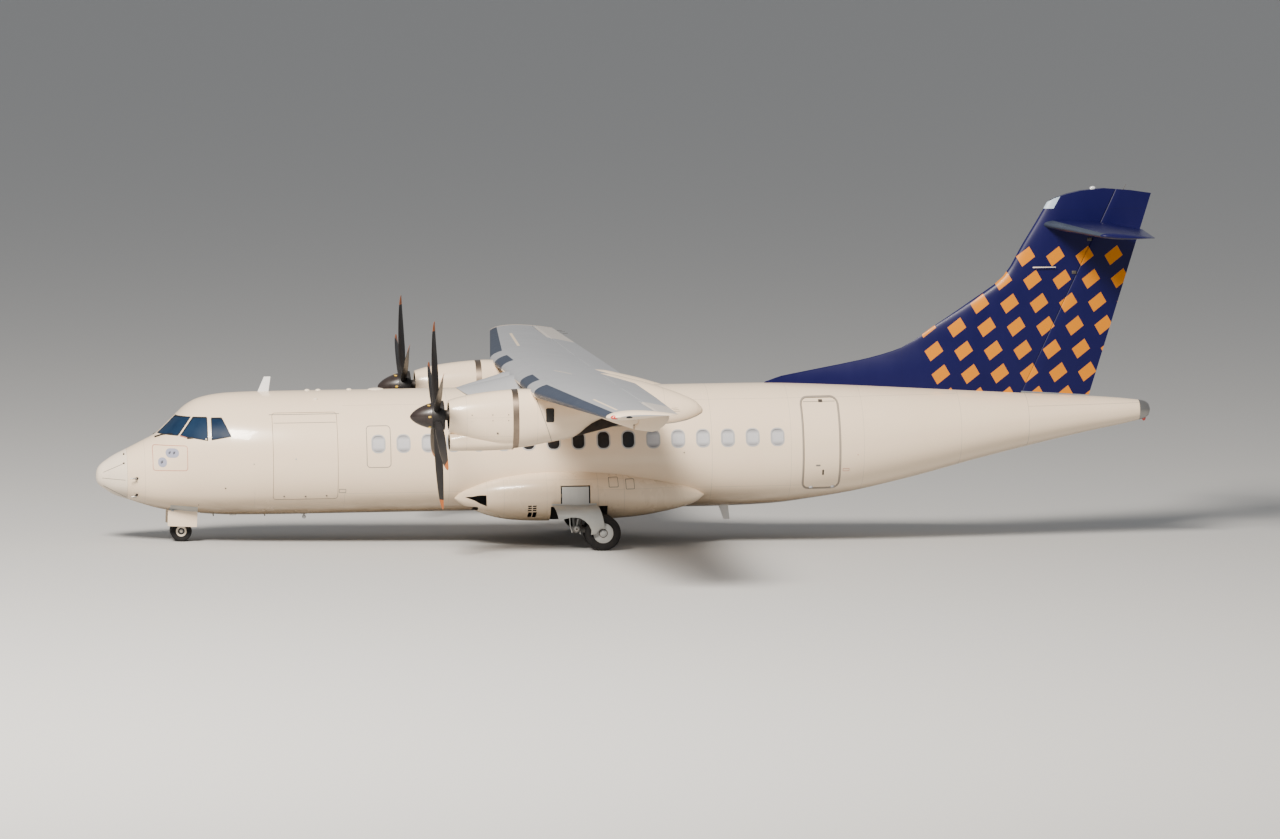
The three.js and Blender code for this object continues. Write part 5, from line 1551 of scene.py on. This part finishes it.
def makeFin():
    rows = [(z / 1000, nose / 1000, thick / 1000, aft) for z, nose, thick, aft in faired(tail["fin"], 3)]
    rings = [wallRing(row, row[1], lineAt(tail["hinge"], row[0]) - tail["wall"], finPoint, tail["lip"])
             for row in rows]
    last = len(rings[0]) - 6
    fin = dress(sectionSkin("finSkin", rings, lambda i, r: int(i > last)), "lozengePaint", "darkVoid")
    closeUp(fin)
    combine(fin, tailPlate("tailTop", tail["top"]), "INTERSECT")
    edge = sectionSkin("finTipEdge", rings)
    closeUp(edge)
    openUp(edge)
    bpy.ops.transform.resize(value=(1, 1.02, 1), center_override=(0, 0, 0))
    bpy.ops.transform.translate(value=(-0.002, 0, 0.001))
    leaveEdit()
    combine(edge, tailPlate("tailTop", tail["top"]), "INTERSECT")
    combine(edge, tailPlate("cut", tail["tipEdge"]), "INTERSECT")
    finished(dress(edge, "paleBlue"), "airframe", "grey_paint")
    finished(fin, "airframe", "indigo_paint", "fin", "dorsal_fin", "fin_tip")
    parts = []
    x0, x1, z = tail["rod"]
    for s in sides.values():
        rod = barPiece("rod", (x0, s * 0.19, z), (x1, s * 0.19, z), 0.013, 0.008, 12, 0.003)
        post = barPiece("post", (x0 + 0.28, s * 0.1, z), (x0 + 0.28, s * 0.19, z), 0.014, 0.01, 12, 0.002)
        parts += [markFaces(dress(rod, "darkMetal", "hubWhite"), 1), dress(post, "darkMetal")]
        for height in tail["fittings"]:
            x = lineAt(tail["hinge"], height)
            out = max(finPoint(row, x - 0.08, 1).y for row in rows if abs(row[0] - height) < 0.25)
            box = boxPiece("fitting", (x - 0.15, x - 0.055), sorted((s * (out - 0.008), s * (out + 0.012))),
                           (height - 0.035, height + 0.035), 0.004)
            parts.append(dress(box, "darkMetal"))
    finished(rename(joinInto(*parts), "finFittings"), "airframe", "grey_paint")
    beacon = dress(blister("finBeacon", *tail["beacon"]), "clearLamp", "darkMetal")
    mast = dress(barPiece("mast", *tail["mast"], 8, 0.001), "darkMetal")
    finished(joinInto(beacon, mast), "airframe", "glazing")
    rings = []
    deep, shallow = tail["rudderNose"]
    for row in rows:
        depth = deep + (shallow - deep) * (row[0] - 2.79) / (7.12 - 2.79)
        hinge, end = lineAt(tail["hinge"], row[0]), lineAt(tail["trailing"], row[0])
        rings.append(controlRing(row, hinge, end, depth, finPoint))
    rudder = sectionSkin("rudderSkin", rings)
    closeUp(rudder)
    dress(rudder, "lozengePaint")
    combine(rudder, tailPlate("tailTop", tail["top"]), "INTERSECT")
    combine(rudder, tailPlate("below", tail["below"]), "DIFFERENCE")
    finished(rudder, "rudder", "indigo_paint", "rudder")


def planePoint(row, x, side):
    return surfacePoint(row, min(max((x - row[1]) / row[2], 0), 1), side)


def makeTailplane():
    hinge, end = tail["elevatorHinge"], tail["elevatorTip"]
    rows = [rowAt(tail["plane"], y) for y in (0, 0.8, 1.6, 2.4, 3.2, end + 0.012)] + tail["plane"][2:]
    rings = []
    for row in rows:
        whole = (row[1] + row[2] - 0.002, planePoint, 0.001)
        walled = (hinge - 0.075, planePoint, 0.035)
        rings.append(wallRing(row, row[1], *(walled if row[0] < end + 0.02 else whole)))
        if row[0] == end + 0.012:
            rings.append(wallRing(row, row[1], *whole))
    rings = [flipped(ring) for ring in reversed(rings[1:])] + rings
    boots = range(len(frontShares) - 7, len(frontShares) + 6)
    plane = sectionSkin("tailplaneSkin", rings, lambda i, r: int(i in boots and 2 < r < len(rings) - 4))
    closeUp(plane)
    dress(plane, "indigo", "boot")
    notch = outlinePlate("notch", [(x, -half, 6) for x, half in tail["notch"]]
                         + [(x, half, 6) for x, half in reversed(tail["notch"])], (0, 0, 0.8))
    combine(plane, notch, "DIFFERENCE", keep=True)
    finished(plane, "airframe", "indigo_paint", "tailplane")
    deep, shallow = tail["elevatorNose"]
    for side, s in sides.items():
        controls = []
        for y in (0.06, 1.0, 2.0, 3.0, end):
            row = rowAt(tail["plane"], y)
            depth = deep + (shallow - deep) * (y - 0.19) / 3.37
            controls.append(controlRing(row, hinge, row[1] + row[2], depth, planePoint))
        flap = sectionSkin("elevatorSkin_" + side, sideways(controls, s))
        closeUp(flap)
        combine(dress(flap, "indigo"), notch, "DIFFERENCE", keep=True)
        finished(flap, "elevator_" + side, "indigo_paint", "elevator_" + side)
    bpy.data.objects.remove(notch)


makeFin()
makeTailplane()
print("tail made")

gear = {
    # station, top at the skin, bottom and half width of the fairing, in millimetres
    "fairing": [(7540, 885, 855, 130), (7620, 1000, 770, 230), (7850, 1120, 650, 400), (8390, 1300, 450, 620),
                (8760, 1356, 390, 710), (9340, 1410, 360, 780), (9920, 1413, 358, 790), (10610, 1380, 372, 785),
                (11080, 1325, 392, 760), (11490, 1255, 427, 705), (12050, 1155, 520, 570),
                (12430, 1077, 605, 430),
                (12740, 965, 720, 260), (12873, 865, 835, 130)],
    "middle": 1.0,
    "plateSection": [(1.79, 1.126), (1.812, 0.745), (1.95, 0.744), (2.15, 0.735), (2.27, 0.71), (2.35, 0.66),
                     (2.4, 0.58), (2.425, 0.45), (2.44, 0.1), (2.418, 0.098), (2.403, 0.45), (2.38, 0.568),
                     (2.334, 0.642), (2.262, 0.688), (2.148, 0.713), (1.95, 0.722), (1.79, 0.723),
                     (1.768, 1.126)],
    "plateOutline": [(9.535, 0.77), (9.57, 0.717), (9.609, 0.581), (9.635, 0.459), (9.7, 0.488), (9.771, 0.51),
                     (9.906, 0.535), (10.0, 0.53), (10.069, 0.518), (10.175, 0.463), (10.269, 0.366),
                     (10.32, 0.257),
                     (10.307, 0.164), (10.429, 0.175), (10.443, 0.215), (10.484, 0.269), (10.511, 0.288),
                     (10.599, 0.287), (10.592, 0.401), (10.569, 0.509), (10.537, 0.631), (10.503, 0.742),
                     (10.5, 0.77), (10.338, 0.77), (10.338, 1.126), (9.767, 1.126), (9.767, 0.77)],
    "pad": (9.2, 0.905, (0.48, 0.365)), "panelFrom": 0.77, "rounding": (12, 0.5868),
    "bays": (((9.74, 10.37), (-2.1, -1.08), (0.64, 1.15)), ((9.53, 10.74), (-2.1, -0.9), (0.2, 0.71))),
    "slit": ((11.812, 11.908), (-2.0, -1.0), (1.183, 1.203)),
    "scoop": ((7.6, 8.02), (0.62, 0.7), (-1.5, -0.75), 0.035),
    "inlet": [(7.74, 0.908), (7.9, 0.925), (8.04, 0.955), (8.185, 0.958), (8.19, 0.72), (8.056, 0.774),
              (7.94, 0.839)],
    "louvreColumns": ((9.04, 9.12), (9.14, 9.22)),
    "louvres": [(0.74, 0.71), (0.694, 0.664), (0.648, 0.618), (0.592, 0.48)],
    "hatches": [((10.77, 10.979), (1.096, 1.302)), ((11.136, 11.329), (1.047, 1.257))],
}


def makeGearFairings():
    stations = []
    for row in faired(gear["fairing"], 3):
        x, top, bottom, half = (v / 1000 for v in row)
        crown = top + (top - bottom) * 0.037
        high = (crown - bottom) / 2
        stations.append((x, -gear["middle"], (crown + bottom) / 2, half, high, high))
    looks = ("fairingPaint", "darkVoid")
    body = dress(ringLoft("gearFairingSkin_left", stations, *gear["rounding"]), *looks)
    for spans in gear["bays"]:
        hollow(body, boxPiece("bay", *spans), looks)
    cuts = [crossPlate("inlet", gear["inlet"], -2.0, -1.3, 0.012)]
    for x0, x1 in gear["louvreColumns"]:
        for top, bottom in gear["louvres"]:
            slat = [(x0 + 0.015, top), (x1 + 0.015, top), (x1, bottom), (x0, bottom)]
            cuts.append(crossPlate("louvre", slat, -2.0, -1.1, 0.006, 2))
    cuts += [boxPiece("slit", *gear["slit"]), roundedPrism("scoop", *gear["scoop"])]
    for cut in cuts:
        hollow(body, cut, looks)
    grown = [(x, y, z, *(v + 0.002 for v in sizes)) for x, y, z, *sizes in stations]
    proud = ringLoft("gearFairingHatches_left", grown, *gear["rounding"])
    frames = []
    for hatch in gear["hatches"]:
        frame = roundedPrism("frame", *hatch, (-2.2, -1.3), 0.02, 3)
        spans = [(low + 0.012, high - 0.012) for low, high in hatch]
        inside = roundedPrism("inside", *spans, (-2.3, -1.2), 0.012, 3)
        frames.append(combine(frame, inside, "DIFFERENCE"))
    combine(proud, joinInto(*frames), "INTERSECT")
    finishedPair(dress(proud, "sealGrey"), "grey_paint", angle=35)
    x, y, zs = gear["pad"]
    joinInto(body, dress(barPiece("pad", *((x, -y, z) for z in zs), jackPad["radius"]), "fairingPaint"))
    sheet = outlinePlate("legPlate_left", [(9.5, -y, z) for y, z in gear["plateSection"]], (1.3, 0, 0))
    combine(sheet, crossPlate("cut", gear["plateOutline"], -3, -1), "INTERSECT")
    # Faces above the panel line take the lighter copy of the plate grey: painted light.
    markFaces(dress(sheet, "plateGrey", "panelGrey"), 1, lambda c, n: c.z > gear["panelFrom"])
    applied(sheet, "BEVEL", width=0.004, segments=2, limit_method="ANGLE")
    finishedPair(body, "white_paint", "gear_fairing", 35)
    finishedPair(sheet, "gear_paint", "main_gear_door", 35)


makeGearFairings()

wheels = {
    "main": {"hub": 10.573, "track": 2.05, "spacing": 0.43, "tyre": 0.375, "wide": 0.22, "rim": 0.215,
             "bolts": 8, "facets": 24, "axle": 0.042},
    "nose": {"hub": 1.784, "track": 0, "spacing": 0.33, "tyre": 0.225, "wide": 0.16, "rim": 0.118,
             "bolts": 6, "facets": 20, "axle": 0.026},
}


def fromAxle(c):
    return math.hypot(c.y, c.z)


def makeTyre(name, size):
    top, w, rim = size["tyre"], size["wide"] / 2, size["rim"]
    mid = rim + (top - rim) * 0.55
    half = [(0.72, rim), (0.9, rim + 0.01), (0.95, rim + 0.024), (0.99, rim + (mid - rim) * 0.6), (1, mid),
            (0.97, mid + (top - mid) * 0.4), (0.86, top * 0.955), (0.68, top * 0.988), (0.56, top * 0.997),
            (0.55, top * 0.977), (0.49, top * 0.977), (0.48, top), (0.21, top), (0.2, top * 0.977),
            (0.14, top * 0.977), (0.13, top)]
    pairs = [(-w * x, r) for x, r in half] + [(w * x, r) for x, r in reversed(half)]
    piece = turned(name, pairs, 72)
    selectWhere(piece, lambda c, n: fromAxle(c) < 0.01)
    bpy.ops.mesh.delete(type="FACE")
    bpy.ops.mesh.select_mode(type="EDGE")
    bpy.ops.mesh.select_non_manifold()
    bpy.ops.mesh.bridge_edge_loops()
    leaveEdit()
    return dress(piece, "tyre")


rimLooks = ("gearGrey", "steel", "hubWhite", "darkMetal")


# The main wheels carry a flat disc with a capped nut, the nose wheels a pale ring round a dark well.
def makeRim(size, kind):
    w, rim = size["wide"] / 2, size["rim"] - 0.0005
    pairs = [(-0.55, 0.03), (-0.55, rim * 0.55), (-0.7, rim * 0.8), (-0.7, rim - 0.012), (-0.62, rim)]
    if kind == "main":
        pairs += [(0.7, rim), (0.78, rim - 0.004), (0.78, rim - 0.014), (0.72, rim - 0.018), (0.76, rim * 0.7),
                  (0.78, rim * 0.44), (0.7, rim * 0.42), (0.7, rim * 0.37), (0.84, rim * 0.36),
                  (0.86, rim * 0.34),
                  (0.86, 0.01)]
    else:
        pairs += [(0.66, rim), (0.8, rim - 0.008), (0.82, rim - 0.016), (0.74, rim * 0.62), (0.4, rim * 0.58),
                  (0.4, rim * 0.42), (0.7, rim * 0.36), (0.76, rim * 0.3), (0.76, 0.006)]

    def part(name, pairs, facets, look, y=0, z=0):
        return dress(turned(name, [(w * x, r) for x, r in pairs], facets, y, z), look)

    piece = dress(part("rim", pairs, 72, "gearGrey"), *rimLooks)
    if kind == "main":
        markFaces(piece, 3, lambda c, n: c.x > w * 0.65 and rim * 0.355 < fromAxle(c) < rim * 0.445)
        extras = [part("nut", [(0.8, 0.052), (1, 0.052), (1.03, 0.046), (1.03, 0.01)], 8, "gearGrey")]
        for k in range(size["bolts"]):
            a = 2 * math.pi * (k + 0.5) / size["bolts"]
            extras.append(part("bolt", [(0.6, 0.008), (0.77, 0.008), (0.79, 0.006)], 8, "steel",
                               rim * 0.83 * math.cos(a), rim * 0.83 * math.sin(a)))
    else:
        markFaces(piece, 2, lambda c, n: c.x > w * 0.6 and fromAxle(c) > rim * 0.6)
        markFaces(piece, 3, lambda c, n: w * 0.38 < c.x < w * 0.72 and fromAxle(c) < rim * 0.6)
        extras = [part("cap", [(0.6, 0.026), (0.84, 0.026), (0.88, 0.02), (0.88, 0.004)], 16, "hubWhite")]
    return joinInto(piece, *extras)


def toLevel(x, z):
    turn = stance["noseDown"]
    return x * math.cos(turn) + z * math.sin(turn), z * math.cos(turn) - x * math.sin(turn)


def makeWheels():
    for kind, side in (("main", "left"), ("main", "right"), ("nose", "")):
        size, s = wheels[kind], sides.get(side, 0)
        x, z = toLevel(size["hub"], size["tyre"] * math.cos(math.pi / size["facets"]))
        middle, half = s * size["track"], size["spacing"] / 2
        body = "main_wheel_pair_" + side if side else "nose_wheel_pair"
        rims = []
        for way in (-1, 1):
            if side:
                node = "main_tyre_" + side + ("_outer" if way == s else "_inner")
            else:
                node = "nose_tyre_" + ("left" if way < 0 else "right")
            tyre, rim = makeTyre(node.replace("_tyre_", "TyreRubber_"), size), makeRim(size, kind)
            for item in (tyre, rim):
                settled(item, (0, 0, way * math.pi / 2), (x, middle + way * half, z))
            finished(tyre, body, "tyre", node)
            rims.append(rim)
        axle = barPiece("axle", (x, middle - half, z), (x, middle + half, z), size["axle"])
        name = kind + "WheelRims" + ("_" + side if side else "")
        wheelSet = rename(joinInto(*rims, dress(axle, "steel")), name)
        finished(wheelSet, body, "gear_paint", "main_wheels_" + side if side else "nose_wheels")


makeWheels()
print("wheels made")


# A smooth copy of a part of the frame, with its own finish.
def smoothCopy(node, name, finish, body):
    piece = copyOf(nodes[node], name)
    for key in list(piece.keys()):
        del piece[key]
    piece.parent = None
    closeUp(piece, 35)
    dress(piece, finish)
    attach(piece, body)
    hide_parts(node)


noseDoor = {
    "outline": [(1.5, 0.66), (2.13, 0.655), (2.11, 0.29), (1.488, 0.322)], "y": (0.4, 0.422), "corner": 0.02,
    "hinges": (1.6, 2.03), "rib": [(1.53, 0.50), (2.08, 0.49), (2.08, 0.46),
                                   (1.53, 0.47)], "ribY": (0.401, 0.387),
}


def makeNoseDoors():
    for side, s in sides.items():
        plate, rib = ([s * y for y in noseDoor[key]] for key in ("y", "ribY"))
        panel = crossPlate("noseBayDoor_" + side, noseDoor["outline"], *plate, noseDoor["corner"])
        applied(panel, "BEVEL", width=0.005, segments=3, limit_method="ANGLE")
        dress(panel, "wingWhite", "gearGrey", "darkMetal")
        parts = []
        for x in noseDoor["hinges"]:
            arm = sorted((s * 0.345, s * 0.402))
            pin = ((x - 0.03, s * 0.41, 0.648), (x + 0.03, s * 0.41, 0.648))
            parts.append(boxPiece("arm", (x - 0.018, x + 0.018), arm, (0.6, 0.72), 0.006))
            parts.append(barPiece("pin", *pin, 0.017, facets=16))
        parts.append(crossPlate("rib", noseDoor["rib"], *rib, 0.006))
        joinInto(panel, *(dress(item, "gearGrey") for item in parts))
        finished(panel, "airframe", "white_paint", "nose_gear_door_" + side)


makeNoseDoors()
# The legs take the darker grey: painted shade.
for side in sides:
    smoothCopy("main_gear_leg_" + side, "mainLeg_" + side, "legGrey", "airframe")
    smoothCopy("engine_" + side, "engineCore_" + side, "darkMetal", "airframe")
smoothCopy("nose_gear_leg", "noseLeg", "legGrey", "airframe")
smoothCopy("nose_gear_fork", "noseFork", "gearGrey", "nose_fork")
print("landing gear made")
